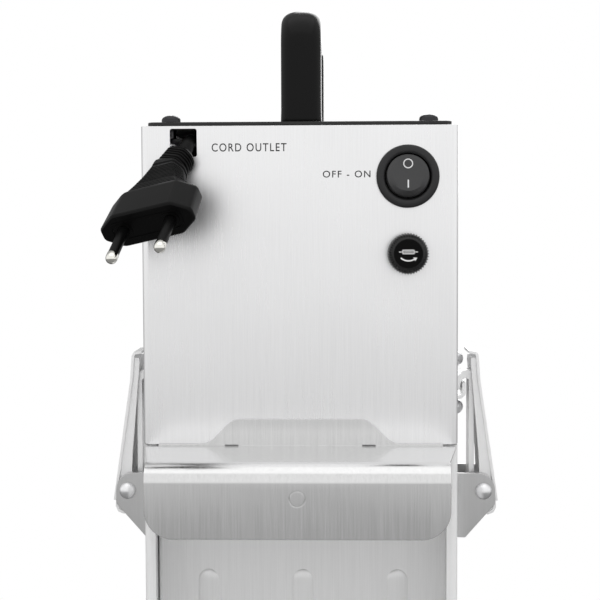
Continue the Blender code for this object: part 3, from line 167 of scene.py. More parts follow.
# Millimetres along the plug, full width, full thickness, width of the flat ridge on its broad faces.
PLUG_SECTIONS = (
    (0.0, 8.2, 7.8, 4.6),
    (2.0, 11.2, 10.2, 6.6),
    (8.4, 11.6, 10.6, 6.9),
    (9.3, 11.8, 10.7, 7.0),
    (9.7, 13.4, 11.4, 8.0),
    (12.0, 13.4, 11.4, 8.2),
    (12.4, 12.4, 10.6, 7.8),
    (13.0, 12.6, 10.8, 8.0),
    (13.5, 13.4, 11.2, 8.8),
    (20.0, 17.2, 11.5, 11.8),
    (26.0, 22.6, 12.2, 15.3),
    (29.6, 27.0, 12.5, 18.3),
    (30.3, 32.4, 12.8, 20.2),
    (31.2, 33.2, 13.0, 20.8),
    (45.9, 34.4, 12.9, 22.0),
)


# ---------------------------------------------------------------- shapes

def ring_points(radius, count):
    turns = [2.0 * math.pi * (i + 0.5) / count for i in range(count)]
    return [(radius * math.cos(a), radius * math.sin(a)) for a in turns]


def arc(centre, radius, start, end, steps):
    """Points on an arc, angles in degrees."""
    angles = [math.radians(start + (end - start) * i / steps) for i in range(steps + 1)]
    return [(centre[0] + radius * math.cos(a), centre[1] + radius * math.sin(a)) for a in angles]


def loft(sections):
    """Bridge closed sections of equal point count and close both ends."""
    bm = bmesh.new()
    rings = [[bm.verts.new(p) for p in section] for section in sections]
    count = len(rings[0])
    for lower, upper in zip(rings, rings[1:]):
        for i in range(count):
            j = (i + 1) % count
            bm.faces.new((lower[i], lower[j], upper[j], upper[i]))
    bm.faces.new(rings[0])
    bm.faces.new(list(reversed(rings[-1])))
    return bm


def turned(profile, segments=64, closed=False, radius_at=None):
    """Spin (radius, outward) points about Y; outward is towards -Y. radius_at changes a radius by segment."""
    bm = bmesh.new()
    rings = []
    for radius, out in profile:
        if radius == 0.0:
            rings.append([bm.verts.new((0.0, -out, 0.0))] * segments)
            continue
        ring = []
        for i in range(segments):
            a = 2.0 * math.pi * i / segments
            r = radius_at(radius, i) if radius_at else radius
            ring.append(bm.verts.new((r * math.cos(a), -out, r * math.sin(a))))
        rings.append(ring)
    pairs = list(zip(rings, rings[1:]))
    if closed:
        pairs.append((rings[-1], rings[0]))
    for lower, upper in pairs:
        for i in range(segments):
            j = (i + 1) % segments
            corners = []
            for vertex in (lower[i], lower[j], upper[j], upper[i]):
                if vertex not in corners:
                    corners.append(vertex)
            if len(corners) > 2:
                bm.faces.new(corners)
    return bm


def slab(outline, low, high):
    """Extrude an (x, z) outline along Y."""
    bm = bmesh.new()
    front = [bm.verts.new((x, low, z)) for x, z in outline]
    back = [bm.verts.new((x, high, z)) for x, z in outline]
    bm.faces.new(front)
    bm.faces.new(list(reversed(back)))
    for i in range(len(outline)):
        j = (i + 1) % len(outline)
        bm.faces.new((front[i], front[j], back[j], back[i]))
    return bm


def joined(shapes):
    """Several separate shapes in one bmesh."""
    bm = bmesh.new()
    for shape in shapes:
        mesh = bpy.data.meshes.new("part")
        shape.to_mesh(mesh)
        shape.free()
        bm.from_mesh(mesh)
        bpy.data.meshes.remove(mesh)
    return bm


def stroke(points, width):
    """Outline of a line of even width along (x, z) points."""
    left, right = [], []
    for i, point in enumerate(points):
        before, after = Vector(points[max(i - 1, 0)]), Vector(points[min(i + 1, len(points) - 1)])
        along = (after - before).normalized()
        side = Vector((-along.y, along.x)) * width / 2
        left.append(tuple(Vector(point) + side))
        right.append(tuple(Vector(point) - side))
    return left + right[::-1]


def rounded_outline(points, radius, steps=3):
    """Round the corners of a convex outline."""
    outline = []
    for i, point in enumerate(points):
        here = Vector(point)
        before, after = Vector(points[i - 1]), Vector(points[(i + 1) % len(points)])
        reach = min(radius, (before - here).length * 0.4, (after - here).length * 0.4)
        start = here + (before - here).normalized() * reach
        end = here + (after - here).normalized() * reach
        for step in range(steps + 1):
            t = step / steps
            outline.append(tuple(start * (1 - t) ** 2 + here * 2 * t * (1 - t) + end * t ** 2))
    return outline


def smooth_route(points, steps):
    """Catmull-Rom curve through given points."""
    padded = [points[0] * 2 - points[1]] + points + [points[-1] * 2 - points[-2]]
    curve = []
    for a, b, c, d in zip(padded, padded[1:], padded[2:], padded[3:]):
        for i in range(steps):
            t = i / steps
            curve.append(((b * 2) + (c - a) * t + (a * 2 - b * 5 + c * 4 - d) * t ** 2
                          + (b * 3 - a - c * 3 + d) * t ** 3) / 2)
    return curve + [points[-1]]


# ---------------------------------------------------------------- pieces

def piece(name, bm, look, body, stands_for=(), place=None, angle=35.0):
    """A smooth-shaded mesh that rides on a body; place is its matrix in the frame."""
    if place is not None:
        bmesh.ops.transform(bm, matrix=place, verts=bm.verts)
    bmesh.ops.recalc_face_normals(bm, faces=bm.faces)
    mesh = bpy.data.meshes.new(name)
    bm.to_mesh(mesh)
    bm.free()
    mesh.shade_smooth()
    mesh.set_sharp_from_angle(angle=math.radians(angle))
    mesh.materials.append(look)
    made = bpy.data.objects.new(name, mesh)
    bpy.context.scene.collection.objects.link(made)
    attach(made, body)
    if stands_for:
        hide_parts(*stands_for)
    return made


def body_with(node):
    for body, members in frame["record"]["behaviour"]["bodies"].items():
        if node in members:
            return body
    raise KeyError(node)


def softened(node, look, width, angle=32.0):
    """A copy of a CAD node with rounded edges and smooth bends, which stands for the node."""
    source = frame["nodes"][node].data
    mesh = bpy.data.meshes.new(node)
    mesh.from_pydata([v.co for v in source.vertices], [], [tuple(p.vertices) for p in source.polygons])
    bm = bmesh.new()
    bm.from_mesh(mesh)
    bpy.data.meshes.remove(mesh)
    bmesh.ops.remove_doubles(bm, verts=bm.verts, dist=WELD_DISTANCE)
    bmesh.ops.dissolve_degenerate(bm, edges=bm.edges, dist=SLIVER_DISTANCE)
    bmesh.ops.dissolve_limit(bm, angle_limit=math.radians(FLAT_WITHIN_DEG), verts=bm.verts, edges=bm.edges)
    if width:
        inner = [e for e in bm.edges if len(e.link_faces) == 2]
        sharp = [e for e in inner if e.calc_face_angle() > math.radians(angle)]
        bmesh.ops.bevel(bm, geom=sharp, offset=width, offset_type="OFFSET", segments=BEVEL_SEGMENTS,
                        profile=0.5, affect="EDGES", clamp_overlap=False)
    made = piece(node + "_finish", bm, look, body_with(node), [node], angle=angle)
    flats = made.modifiers.new("flat_faces", "WEIGHTED_NORMAL")
    flats.keep_sharp = True


# ---------------------------------------------------------------- materials

# The part of a noise texture's range that its values mostly fill.
NOISE_LOW, NOISE_HIGH = 0.3, 0.7


def new_material(name, roughness, metallic=0.0, specular=0.5):
    made = bpy.data.materials.new(name)
    made.use_nodes = True
    tree = made.node_tree
    shader = tree.nodes["Principled BSDF"]
    shader.inputs["Roughness"].default_value = roughness
    shader.inputs["Metallic"].default_value = metallic
    shader.inputs["Specular IOR Level"].default_value = specular
    return made, tree, shader


def noise(tree, scale, detail=3.0, stretch=(1.0, 1.0, 1.0)):
    coordinates = tree.nodes.new("ShaderNodeTexCoord")
    mapping = tree.nodes.new("ShaderNodeMapping")
    mapping.inputs["Scale"].default_value = stretch
    texture = tree.nodes.new("ShaderNodeTexNoise")
    texture.inputs["Scale"].default_value = scale
    texture.inputs["Detail"].default_value = detail
    tree.links.new(coordinates.outputs["Object"], mapping.inputs["Vector"])
    tree.links.new(mapping.outputs["Vector"], texture.inputs["Vector"])
    return texture.outputs["Fac"]


def blend(tree, first, second, share):
    """share of the first value and the rest of the second."""
    mix = tree.nodes.new("ShaderNodeMix")
    mix.inputs["Factor"].default_value = 1.0 - share
    tree.links.new(first, mix.inputs["A"])
    tree.links.new(second, mix.inputs["B"])
    return mix.outputs["Result"]


def spread(tree, value, low, high):
    """Map the middle of a noise to a range."""
    ranger = tree.nodes.new("ShaderNodeMapRange")
    ranger.inputs["From Min"].default_value = NOISE_LOW
    ranger.inputs["From Max"].default_value = NOISE_HIGH
    ranger.inputs["To Min"].default_value = low
    ranger.inputs["To Max"].default_value = high
    tree.links.new(value, ranger.inputs["Value"])
    return ranger.outputs["Result"]


def two_tone(tree, value, dark, light):
    """Colour that runs from dark to light with a noise."""
    ramp = tree.nodes.new("ShaderNodeValToRGB")
    ramp.color_ramp.elements[0].position = NOISE_LOW
    ramp.color_ramp.elements[1].position = NOISE_HIGH
    ramp.color_ramp.elements[0].color = (*dark, 1.0)
    ramp.color_ramp.elements[1].color = (*light, 1.0)
    tree.links.new(value, ramp.inputs["Fac"])
    return ramp.outputs["Color"]


def bumped(tree, shader, height, strength, distance):
    bump = tree.nodes.new("ShaderNodeBump")
    bump.inputs["Strength"].default_value = strength
    bump.inputs["Distance"].default_value = distance
    tree.links.new(height, bump.inputs["Height"])
    tree.links.new(bump.outputs["Normal"], shader.inputs["Normal"])


def brushed(name, tone, roughness, along="Z", contrast=0.07, bump=0.10, metallic=1.0):
    """Stainless sheet with a brushed grain along one axis and faint handling marks."""
    made, tree, shader = new_material(name, roughness, metallic)
    stretch = tuple(0.018 if axis == along else 1.0 for axis in "XYZ")
    fine, coarse = noise(tree, 2900.0, 3.0, stretch), noise(tree, 700.0, 2.0, stretch)
    grain = blend(tree, fine, coarse, 0.7)
    marks = noise(tree, 28.0, 4.0)
    dark = tuple(channel * (1.0 - contrast) for channel in tone)
    light = tuple(min(channel * (1.0 + contrast), 1.0) for channel in tone)
    tree.links.new(two_tone(tree, grain, dark, light), shader.inputs["Base Color"])
    rough = blend(tree, spread(tree, grain, roughness - 0.07, roughness + 0.07),
                  spread(tree, marks, roughness - 0.05, roughness + 0.06), 0.6)
    tree.links.new(rough, shader.inputs["Roughness"])
    bumped(tree, shader, grain, bump, 0.05 * MM)
    return made


def moulded(name, tone, roughness, specular=0.35, grain=2600.0, bump=0.12):
    """Injection-moulded plastic or rubber with a fine spark texture and slight sheen changes."""
    made, tree, shader = new_material(name, roughness, specular=specular)
    fine = noise(tree, grain, 2.0)
    patches = noise(tree, 60.0, 3.0)
    dark = tuple(channel * 0.85 for channel in tone)
    light = tuple(channel * 1.2 for channel in tone)
    tree.links.new(two_tone(tree, patches, dark, light), shader.inputs["Base Color"])
    tree.links.new(spread(tree, patches, roughness - 0.04, roughness + 0.05), shader.inputs["Roughness"])
    bumped(tree, shader, fine, bump, 0.03 * MM)
    return made


def polished(name, tone, roughness):
    """Bright metal with hairline scratches."""
    made, tree, shader = new_material(name, roughness, 1.0)
    hairs = noise(tree, 900.0, 3.0, (1.0, 0.15, 0.15))
    tree.links.new(two_tone(tree, hairs, tuple(c * 0.95 for c in tone), tone), shader.inputs["Base Color"])
    rough = spread(tree, hairs, max(roughness - 0.03, 0.02), roughness + 0.04)
    tree.links.new(rough, shader.inputs["Roughness"])
    bumped(tree, shader, hairs, 0.05, 0.02 * MM)
    return made


STEEL = brushed("panel_steel", (0.88, 0.88, 0.885), 0.30, contrast=0.045, bump=0.07)
# The hook plate's steel is darker than the panel's steel: painted shade for the dim light its flap catches.
SHADED_HOOK_STEEL = brushed("hook_steel_painted_shade", (0.70, 0.70, 0.70), 0.20, contrast=0.06, bump=0.09)
FRAME_STEEL = brushed("frame_steel", (0.92, 0.92, 0.92), 0.42, contrast=0.03, bump=0.04, metallic=0.35)
TANK_STEEL = brushed("tank_steel", (0.86, 0.86, 0.86), 0.42, contrast=0.04, bump=0.06, metallic=0.55)
TRAY_STEEL = brushed("tray_steel", (0.68, 0.68, 0.69), 0.28, along="X")
# The latch steel is paler than the panel's steel: painted light for the brightly lit lever flanges, shared by
# keepers and links.
LIT_LATCH_STEEL = brushed("latch_steel_painted_light", (0.96, 0.96, 0.96), 0.34, contrast=0.02, bump=0.03, metallic=0.55)
BRACKET_STEEL = brushed("bracket_steel", (0.60, 0.60, 0.60), 0.34, contrast=0.03, bump=0.04)
BRIGHT_STEEL = polished("bright_steel", (0.80, 0.80, 0.81), 0.16)
RIVET_STEEL = polished("rivet_steel", (0.86, 0.86, 0.87), 0.36)
MOTOR_STEEL = brushed("motor_steel", (0.62, 0.62, 0.64), 0.33, contrast=0.04)
ENAMEL = moulded("black_enamel", (0.018, 0.018, 0.018), 0.36, 0.30, 1800.0, 0.05)
DARK_STEEL = polished("blackened_steel", (0.045, 0.045, 0.047), 0.18)
HANDLE_PLASTIC = moulded("handle_plastic", (0.003, 0.003, 0.003), 0.24, 0.14, 2600.0, 0.04)
PLASTIC = moulded("satin_plastic", (0.008, 0.008, 0.008), 0.42, 0.25)
ROCKER_PLASTIC = moulded("rocker_plastic", (0.042, 0.042, 0.043), 0.48, 0.45, 3200.0, 0.10)
BEZEL_PLASTIC = moulded("bezel_plastic", (0.018, 0.018, 0.019), 0.38, 0.35, 2600.0, 0.06)
GLOSS_PLASTIC = moulded("gloss_plastic", (0.008, 0.008, 0.008), 0.22, 0.40, 1200.0, 0.02)
DISC_PLASTIC = moulded("disc_plastic", (0.002, 0.002, 0.002), 0.08, 0.06, 1200.0, 0.01)
PLUG_PLASTIC = moulded("plug_plastic", (0.003, 0.003, 0.003), 0.34, 0.10)
RUBBER = moulded("foot_rubber", (0.022, 0.022, 0.022), 0.75, 0.3, 1800.0, 0.25)
CORD_RUBBER = moulded("cord_rubber", (0.004, 0.004, 0.004), 0.5, 0.10)
SILICONE = moulded("silicone", (0.78, 0.76, 0.71), 0.55, 0.4, 900.0, 0.08)
ACETAL = moulded("acetal", (0.86, 0.86, 0.83), 0.40, 0.45, 900.0, 0.05)
NICKEL = polished("nickel_brass", (0.86, 0.85, 0.80), 0.10)
RED_PLASTIC = moulded("red_plastic", (0.58, 0.025, 0.015), 0.24, 0.5, 900.0, 0.03)
INK = moulded("grey_ink", (0.028, 0.028, 0.029), 0.55, 0.2, 1500.0, 0.05)
WHITE_INK = moulded("white_ink", (0.82, 0.82, 0.82), 0.5, 0.3, 1500.0, 0.05)


def amber_lens():
    made, tree, shader = new_material("amber_lens", 0.12)
    cloud = noise(tree, 300.0, 2.0)
    colour = two_tone(tree, cloud, (0.80, 0.26, 0.02), (0.95, 0.42, 0.04))
    tree.links.new(colour, shader.inputs["Base Color"])
    shader.inputs["Transmission Weight"].default_value = 0.35
    shader.inputs["Coat Weight"].default_value = 0.5
    return made


def clear_glass():
    made, tree, shader = new_material("fuse_glass", 0.04)
    cloud = noise(tree, 200.0, 2.0)
    colour = two_tone(tree, cloud, (0.86, 0.92, 0.91), (0.92, 0.96, 0.95))
    tree.links.new(colour, shader.inputs["Base Color"])
    shader.inputs["Transmission Weight"].default_value = 0.9
    return made


AMBER = amber_lens()
GLASS = clear_glass()


# ---------------------------------------------------------------- camera

def make_camera():
    data = bpy.data.cameras.new("camera")
    data.lens = LENS_MM
    data.sensor_width = SENSOR_MM
    data.clip_start = 0.01
    made = bpy.data.objects.new("camera", data)
    bpy.context.scene.collection.objects.link(made)
    aim = (CAMERA_TARGET - CAMERA_STAND).to_track_quat("-Z", "Y").to_matrix().to_4x4()
    roll = Matrix.Rotation(math.radians(CAMERA_ROLL_DEG), 4, "Z")
    made.matrix_world = Matrix.Translation(CAMERA_STAND) @ aim @ roll
    bpy.context.scene.camera = made


# ---------------------------------------------------------------- mains lead

def coil_points():
    """Centreline of the stowed lead: six turns in three layers of two, innermost first."""
    low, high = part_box("mains_cord_coil")
    centre = (low + high) / 2
    outer_r = (high.z - low.z) / 2
    rows = [outer_r - CORD_DIAMETER * (2.5 - i) for i in range(3)]
    near, far = high.x - CORD_DIAMETER / 2, low.x + CORD_DIAMETER / 2
    tracks = []
    for row, sides in zip(rows, ((far, near), (near, far), (far, near))):
        tracks += [(row, side) for side in sides]
    points = []

    def add(angle, radius, x):
        a = math.radians(angle)
        points.append(Vector((x, centre.y + radius * math.cos(a), centre.z + radius * math.sin(a))))

    lead_in = CORD_LEAVES_COIL_DEG - CORD_LEAVES_CLAMP_DEG
    for i in range(LEAD_IN_STEPS):
        t = i / LEAD_IN_STEPS
        ease = t * t * (3 - 2 * t)
        add(CORD_LEAVES_CLAMP_DEG + lead_in * t, COIL_START_R + (rows[0] - COIL_START_R) * ease, far)
    for i in range(COIL_TURNS * STEPS_PER_TURN + 1):
        turned_by = 360.0 * i / STEPS_PER_TURN
        track = min(int(turned_by // 360.0), COIL_TURNS - 1)
        radius, x = tracks[track]
        left = 360.0 * (track + 1) - turned_by
        if track < COIL_TURNS - 1 and left < SHIFT_DEG:
            t = 1.0 - left / SHIFT_DEG
            ease = t * t * (3 - 2 * t)
            radius += (tracks[track + 1][0] - radius) * ease
            x += (tracks[track + 1][1] - x) * ease
        add(CORD_LEAVES_COIL_DEG + turned_by, radius, x)
    return points


def make_cord():
    curve = bpy.data.curves.new("mains_lead", "CURVE")
    curve.dimensions = "3D"
    curve.bevel_depth = CORD_DIAMETER / 2
    curve.bevel_resolution = 4
    curve.use_fill_caps = True
    coil = coil_points()
    route = [Vector(p) * MM + CORD_ORIGIN for p in CORD_ROUTE]
    points = coil + smooth_route([coil[-1]] + route, 5)[1:]
    spline = curve.splines.new("POLY")
    spline.points.add(len(points) - 1)
    for spot, point in zip(spline.points, points):
        spot.co = (*point, 1.0)
    curve.materials.append(CORD_RUBBER)
    made = bpy.data.objects.new("mains_lead", curve)
    bpy.context.scene.collection.objects.link(made)
    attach(made, "head")
    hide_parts("mains_cord", "mains_cord_coil")
    return made, points[0]


def plug_frames():
    """Stations from the relief to the face: millimetres along, centre, across, axis and up."""
    centre, walked, frames = PLUG_START.copy(), 0.0, []
    count = round(PLUG_LENGTH / PLUG_STATION_PITCH)
    for i in range(count + 1):
        along = PLUG_LENGTH * i / count
        bend = min(max((along - PLUG_BEND_FROM) / (PLUG_BEND_TO - PLUG_BEND_FROM), 0.0), 1.0)
        axis = RELIEF_AXIS.lerp(PLUG_AXIS, bend).normalized()
        across = RELIEF_WIDE.lerp(PLUG_WIDE, min(along / PLUG_TWIST_TO, 1.0))
        across = (across - axis * across.dot(axis)).normalized()
        centre = centre + axis * (along - walked) * MM
        walked = along
        frames.append((along, centre.copy(), across, axis, across.cross(axis)))
    return frames


def plug_size(along):
    """Width, thickness and ridge width of the plug, eased between its driving sections."""
    for low, high in zip(PLUG_SECTIONS, PLUG_SECTIONS[1:]):
        if along <= high[0] + 1e-6:
            t = (along - low[0]) / (high[0] - low[0])
            return [a + (b - a) * t for a, b in zip(low[1:], high[1:])]
    return list(PLUG_SECTIONS[-1][1:])


def groove(along, ribs):
    """Depth of the grooves between moulded ribs at a place along the plug."""
    start, end, pitch, width, depth = ribs
    inside = start < along < end and (along - start) % pitch > pitch - width
    return depth if inside else 0.0


def plug_outline(along):
    """Cross-section in mm: an eight-sided body whose relief and broad faces carry fine ribs."""
    wide, deep, ridge = plug_size(along)
    relief, grip = groove(along, RELIEF_RIBS), groove(along, GRIP_RIBS)
    face_round = max(along - (PLUG_LENGTH - FACE_ROUND_LENGTH), 0.0) ** 2 * FACE_ROUND
    half_w = wide / 2 - relief - grip * 0.5 - face_round
    half_d = deep / 2 - relief - grip - face_round
    half_r = ridge / 2
    edge = half_d * 0.35
    corners = [(half_w, -edge), (half_w, edge), (half_r, half_d), (-half_r, half_d),
               (-half_w, edge), (-half_w, -edge), (-half_r, -half_d), (half_r, -half_d)]
    return rounded_outline(corners, PLUG_CORNER_R)


def face_marks():
    """The plug face's raised border and the two bosses that its pins stand in."""
    corners = [(-BORDER_HALF_WIDTH, -BORDER_HALF_HEIGHT), (BORDER_HALF_WIDTH, -BORDER_HALF_HEIGHT),
               (BORDER_HALF_WIDTH, BORDER_HALF_HEIGHT), (-BORDER_HALF_WIDTH, BORDER_HALF_HEIGHT)]
    border = rounded_outline(corners, BORDER_CORNER_R, 6)
    marks = [frame_strip([(x * MM, z * MM) for x, z in border], BORDER_STROKE, BORDER_RAISE)]
    profile = [(BOSS_OUTER_R, 0.0), (BOSS_OUTER_R, BOSS_RAISE),
               (BOSS_INNER_R, BOSS_RAISE), (BOSS_INNER_R, 0.0)]
    for side in (-1, 1):
        boss = turned(profile, 32, closed=True)
        bmesh.ops.translate(boss, vec=(side * PIN_SPACING / 2, 0.0, 0.0), verts=boss.verts)
        marks.append(boss)
    return joined(marks)


def make_plug():
    """Moulded two-pin plug with ribbed relief and grip, sleeved pins and a plain border on its face."""
    frames = plug_frames()
    sections = []
    for along, centre, across, _, up in frames:
        sections.append([centre + across * px * MM + up * py * MM for px, py in plug_outline(along)])
    plug = piece("plug_body", loft(sections), PLUG_PLASTIC, "head", ["mains_plug"],
                 angle=40.0)

    _, face, across, axis, up = frames[-1]
    turn = Matrix((across, -axis, up)).transposed().to_4x4()
    place = Matrix.Translation(face) @ turn
    made = [plug, piece("plug_face_border", face_marks(), PLUG_PLASTIC, "head", place=place)]

    sleeve = [(0.0, 0.0), (SLEEVE_R, 0.0), (SLEEVE_R, SLEEVE_LENGTH), (0.0, SLEEVE_LENGTH)]
    tip = [(0.0, SLEEVE_LENGTH - TIP_OVERLAP), (SLEEVE_R, SLEEVE_LENGTH),
           (PIN_R, SLEEVE_LENGTH + TIP_CHAMFER)]
    tip += [(PIN_R * math.cos(a), PIN_LENGTH - PIN_R + PIN_R * math.sin(a))
            for a in [math.radians(15 * i) for i in range(6)]]
    tip.append((0.0, PIN_LENGTH))
    for name, side in (("left", -1), ("right", 1)):
        stand = Matrix.Translation(face + across * side * PIN_SPACING / 2) @ turn
        made.append(piece(f"pin_sleeve_{name}", turned(sleeve, 24), PLUG_PLASTIC, "head",
                          place=stand))
        made.append(piece(f"pin_tip_{name}", turned(tip, 24), NICKEL, "head", [f"plug_pin_{name}"],
                          place=stand))
    return made


def frame_strip(outline, width, height):
    """A raised band along a closed (x, z) outline, standing out towards -Y."""
    bm = bmesh.new()
    rings = []
    count = len(outline)
    for inset, out in ((0.0, -0.1 * MM), (0.0, height), (width, height), (width, -0.1 * MM)):
        ring = []
        for i in range(count):
            before, after = Vector(outline[i - 1]), Vector(outline[(i + 1) % count])
            along = (after - before).normalized()
            spot = Vector(outline[i]) + Vector((-along.y, along.x)) * inset
            ring.append(bm.verts.new((spot.x, -out, spot.y)))
        rings.append(ring)
    for lower, upper in zip(rings, rings[1:] + rings[:1]):
        for i in range(count):
            j = (i + 1) % count
            bm.faces.new((lower[i], lower[j], upper[j], upper[i]))
    return bm


# ---------------------------------------------------------------- rear controls

def make_switch():
    """Round switch: bezel with a rounded rim, and a flat rocker with its circle and bar marks."""
    bezel = [(0.0, -18.0), (9.9, -18.0), (9.9, 0.3), (11.35, 0.3)]
    bezel += arc((10.7, 1.1), 0.8, -35, 80, 6)
    bezel += [(9.3, 2.15), (8.75, 1.95), (8.45, 1.6), (8.35, 1.0), (8.35, -8.6), (0.0, -8.6)]
    seat = Matrix.Translation(ROCKER_AXIS)
    shape = turned([(r * MM, h * MM) for r, h in bezel], 96)
    piece("switch_bezel", shape, BEZEL_PLASTIC, "head", ["switch_housing"], place=seat)

    ball = ROCKER_BALL_R
    side = [math.asin(h / ball) for h in (ROCKER_BACK, ROCKER_BACK / 2, 0.0, 1.2, 2.0)]
    rocker = [(0.0, ROCKER_BACK)] + [(ball * math.cos(a), ball * math.sin(a)) for a in side]
    rocker += [(7.68, 2.5), (7.55, 2.85), (7.2, 3.05), (6.0, 3.12), (0.0, ROCKER_FRONT)]
    tilt = seat @ Matrix.Rotation(math.radians(ROCKER_REST_DEG), 4, "X")
    shape = turned([(r * MM, h * MM) for r, h in rocker], 96)
    for v in shape.verts:
        if v.co.y < -ROCKER_FACE_FROM:
            v.co.x, v.co.z = v.co.x * ROCKER_FACE_SCALE, v.co.z * ROCKER_FACE_SCALE + ROCKER_FACE_RISE
        elif v.co.y < -ROCKER_LIP_FROM:
            v.co.y += ROCKER_LIP_DROP * (max(-v.co.z, 0.0) / (ball * MM)) ** 2
    piece("rocker_cap", shape, ROCKER_PLASTIC, "power_rocker", ["power_rocker"], place=tilt)

    out = -ROCKER_FRONT * MM - MARK_LIFT
    ring = frame_strip(ring_points(RING_R, 40), RING_STROKE, MARK_LIFT)
    bmesh.ops.translate(ring, vec=(0.0, out + MARK_LIFT, RING_RISE), verts=ring.verts)
    bar = slab([(-BAR_HALF_WIDTH, BAR_LOW), (BAR_HALF_WIDTH, BAR_LOW), (BAR_HALF_WIDTH, BAR_HIGH),
                (-BAR_HALF_WIDTH, BAR_HIGH)], out, out + BAR_THICKNESS)
    piece("rocker_marks", joined([ring, bar]), WHITE_INK, "power_rocker", place=tilt)


def fuse_marks():
    """A fuse symbol over an arrow that turns anticlockwise."""
    front, back = SYMBOL_OUT, SYMBOL_OUT + SYMBOL_DEPTH
    corners = [(-SYMBOL_HALF_WIDTH, SYMBOL_LOW), (SYMBOL_HALF_WIDTH, SYMBOL_LOW),
               (SYMBOL_HALF_WIDTH, SYMBOL_HIGH), (-SYMBOL_HALF_WIDTH, SYMBOL_HIGH)]
    symbol = frame_strip(rounded_outline(corners, SYMBOL_CORNER_R), SYMBOL_STROKE, MARK_LIFT)
    bmesh.ops.translate(symbol, vec=(0.0, front + MARK_LIFT, 0.0), verts=symbol.verts)
    middle = (SYMBOL_LOW + SYMBOL_HIGH) / 2
    wire = slab(stroke([(-WIRE_HALF_LENGTH, middle), (WIRE_HALF_LENGTH, middle)], SYMBOL_STROKE), front, back)
    sweep = arc((0.0, ARROW_RISE), ARROW_R, ARROW_FROM_DEG, ARROW_TO_DEG, 12)
    bow = slab(stroke(sweep, ARROW_STROKE), front, back)
    tip = Vector(sweep[-1])
    along = (tip - Vector(sweep[-2])).normalized()
    wide = Vector((-along.y, along.x))
    head = [tip + along * ARROW_HEAD_LENGTH, tip + wide * ARROW_HEAD_HALF, tip - wide * ARROW_HEAD_HALF]
    arrow = slab([tuple(p) for p in head], front, back)
    return joined([symbol, wire, bow, arrow])


def make_fuse():
    """Fuse cap with a knurled skirt and a gloss disc that carries a fuse symbol, and the barrel behind it."""
    def knurl(radius, i):
        wave = 0.5 - 0.5 * math.cos(2.0 * math.pi * i * KNURL_TEETH / KNURL_SEGMENTS)
        return radius - KNURL_DEPTH * wave * (1.0 if radius > KNURL_FROM_R else 0.0)

    seat = Matrix.Translation(FUSE_AXIS)
    shape = turned([(r * MM, h * MM) for r, h in FUSE_CAP_PROFILE], KNURL_SEGMENTS, radius_at=knurl)
    piece("fuse_cap_knurled", shape, GLOSS_PLASTIC, "fuse_cap", ["fuse_cap"], place=seat,
          angle=50.0)
    disc = turned([(0.0, DISC_BACK), (DISC_R, DISC_BACK), (DISC_R, DISC_FRONT), (0.0, DISC_FRONT)], 64)
    piece("fuse_cap_disc", disc, DISC_PLASTIC, "fuse_cap", place=seat)
    piece("fuse_cap_marks", fuse_marks(), WHITE_INK, "fuse_cap", place=seat)
    shape = turned([(r * MM, h * MM) for r, h in FUSE_BARREL_PROFILE], 64)
    piece("fuse_barrel", shape, PLASTIC, "head", ["fuse_holder"], place=seat)


def printed(name, text, left, height, width, middle_z):
    """Flat printed lettering of a given width on the back panel."""
    font = bpy.data.curves.new(name, "FONT")
    font.body = text
    font.size = height * FONT_PER_HEIGHT
    font.extrude = INK_THICKNESS
    font.offset = font.size * FONT_WEIGHT
    font.space_character = FONT_SPACING
    holder = bpy.data.objects.new(name + "_text", font)
    bpy.context.scene.collection.objects.link(holder)
    mesh = bpy.data.meshes.new_from_object(holder.evaluated_get(bpy.context.evaluated_depsgraph_get()))
    bpy.data.objects.remove(holder)
    bpy.data.curves.remove(font)
    bm = bmesh.new()
    bm.from_mesh(mesh)
    bpy.data.meshes.remove(mesh)
    xs, ys = [v.co.x for v in bm.verts], [v.co.y for v in bm.verts]
    middle = Vector(((min(xs) + max(xs)) / 2, (min(ys) + max(ys)) / 2, 0.0))
    grow = Vector((width / (max(xs) - min(xs)), height / (max(ys) - min(ys)), 1.0))
    bmesh.ops.translate(bm, vec=-middle, verts=bm.verts)
    bmesh.ops.scale(bm, vec=grow, verts=bm.verts)
    upright = Matrix.Rotation(math.radians(90.0), 4, "X")
    place = Matrix.Translation((left + width / 2, LABEL_Y, middle_z)) @ upright
    piece(name, bm, INK, "head", place=place)


def make_labels():
    """Generic function words beside the cord window and the switch."""
    for name, text, left, height, width, rise in LABELS:
        printed(name, text, left * MM, height * MM, width * MM, SEAM_Z + rise * MM)


# ---------------------------------------------------------------- lid and handle

def handle_section(width, depth, count=40, power=2.5):
    """Full oval, a little squarer than an ellipse."""
    points = []
    for i in range(count):
        a = 2.0 * math.pi * i / count
        c, s = math.cos(a), math.sin(a)
        points.append((width / 2 * math.copysign(abs(c) ** (2 / power), c),
                       depth / 2 * math.copysign(abs(s) ** (2 / power), s)))
    return points


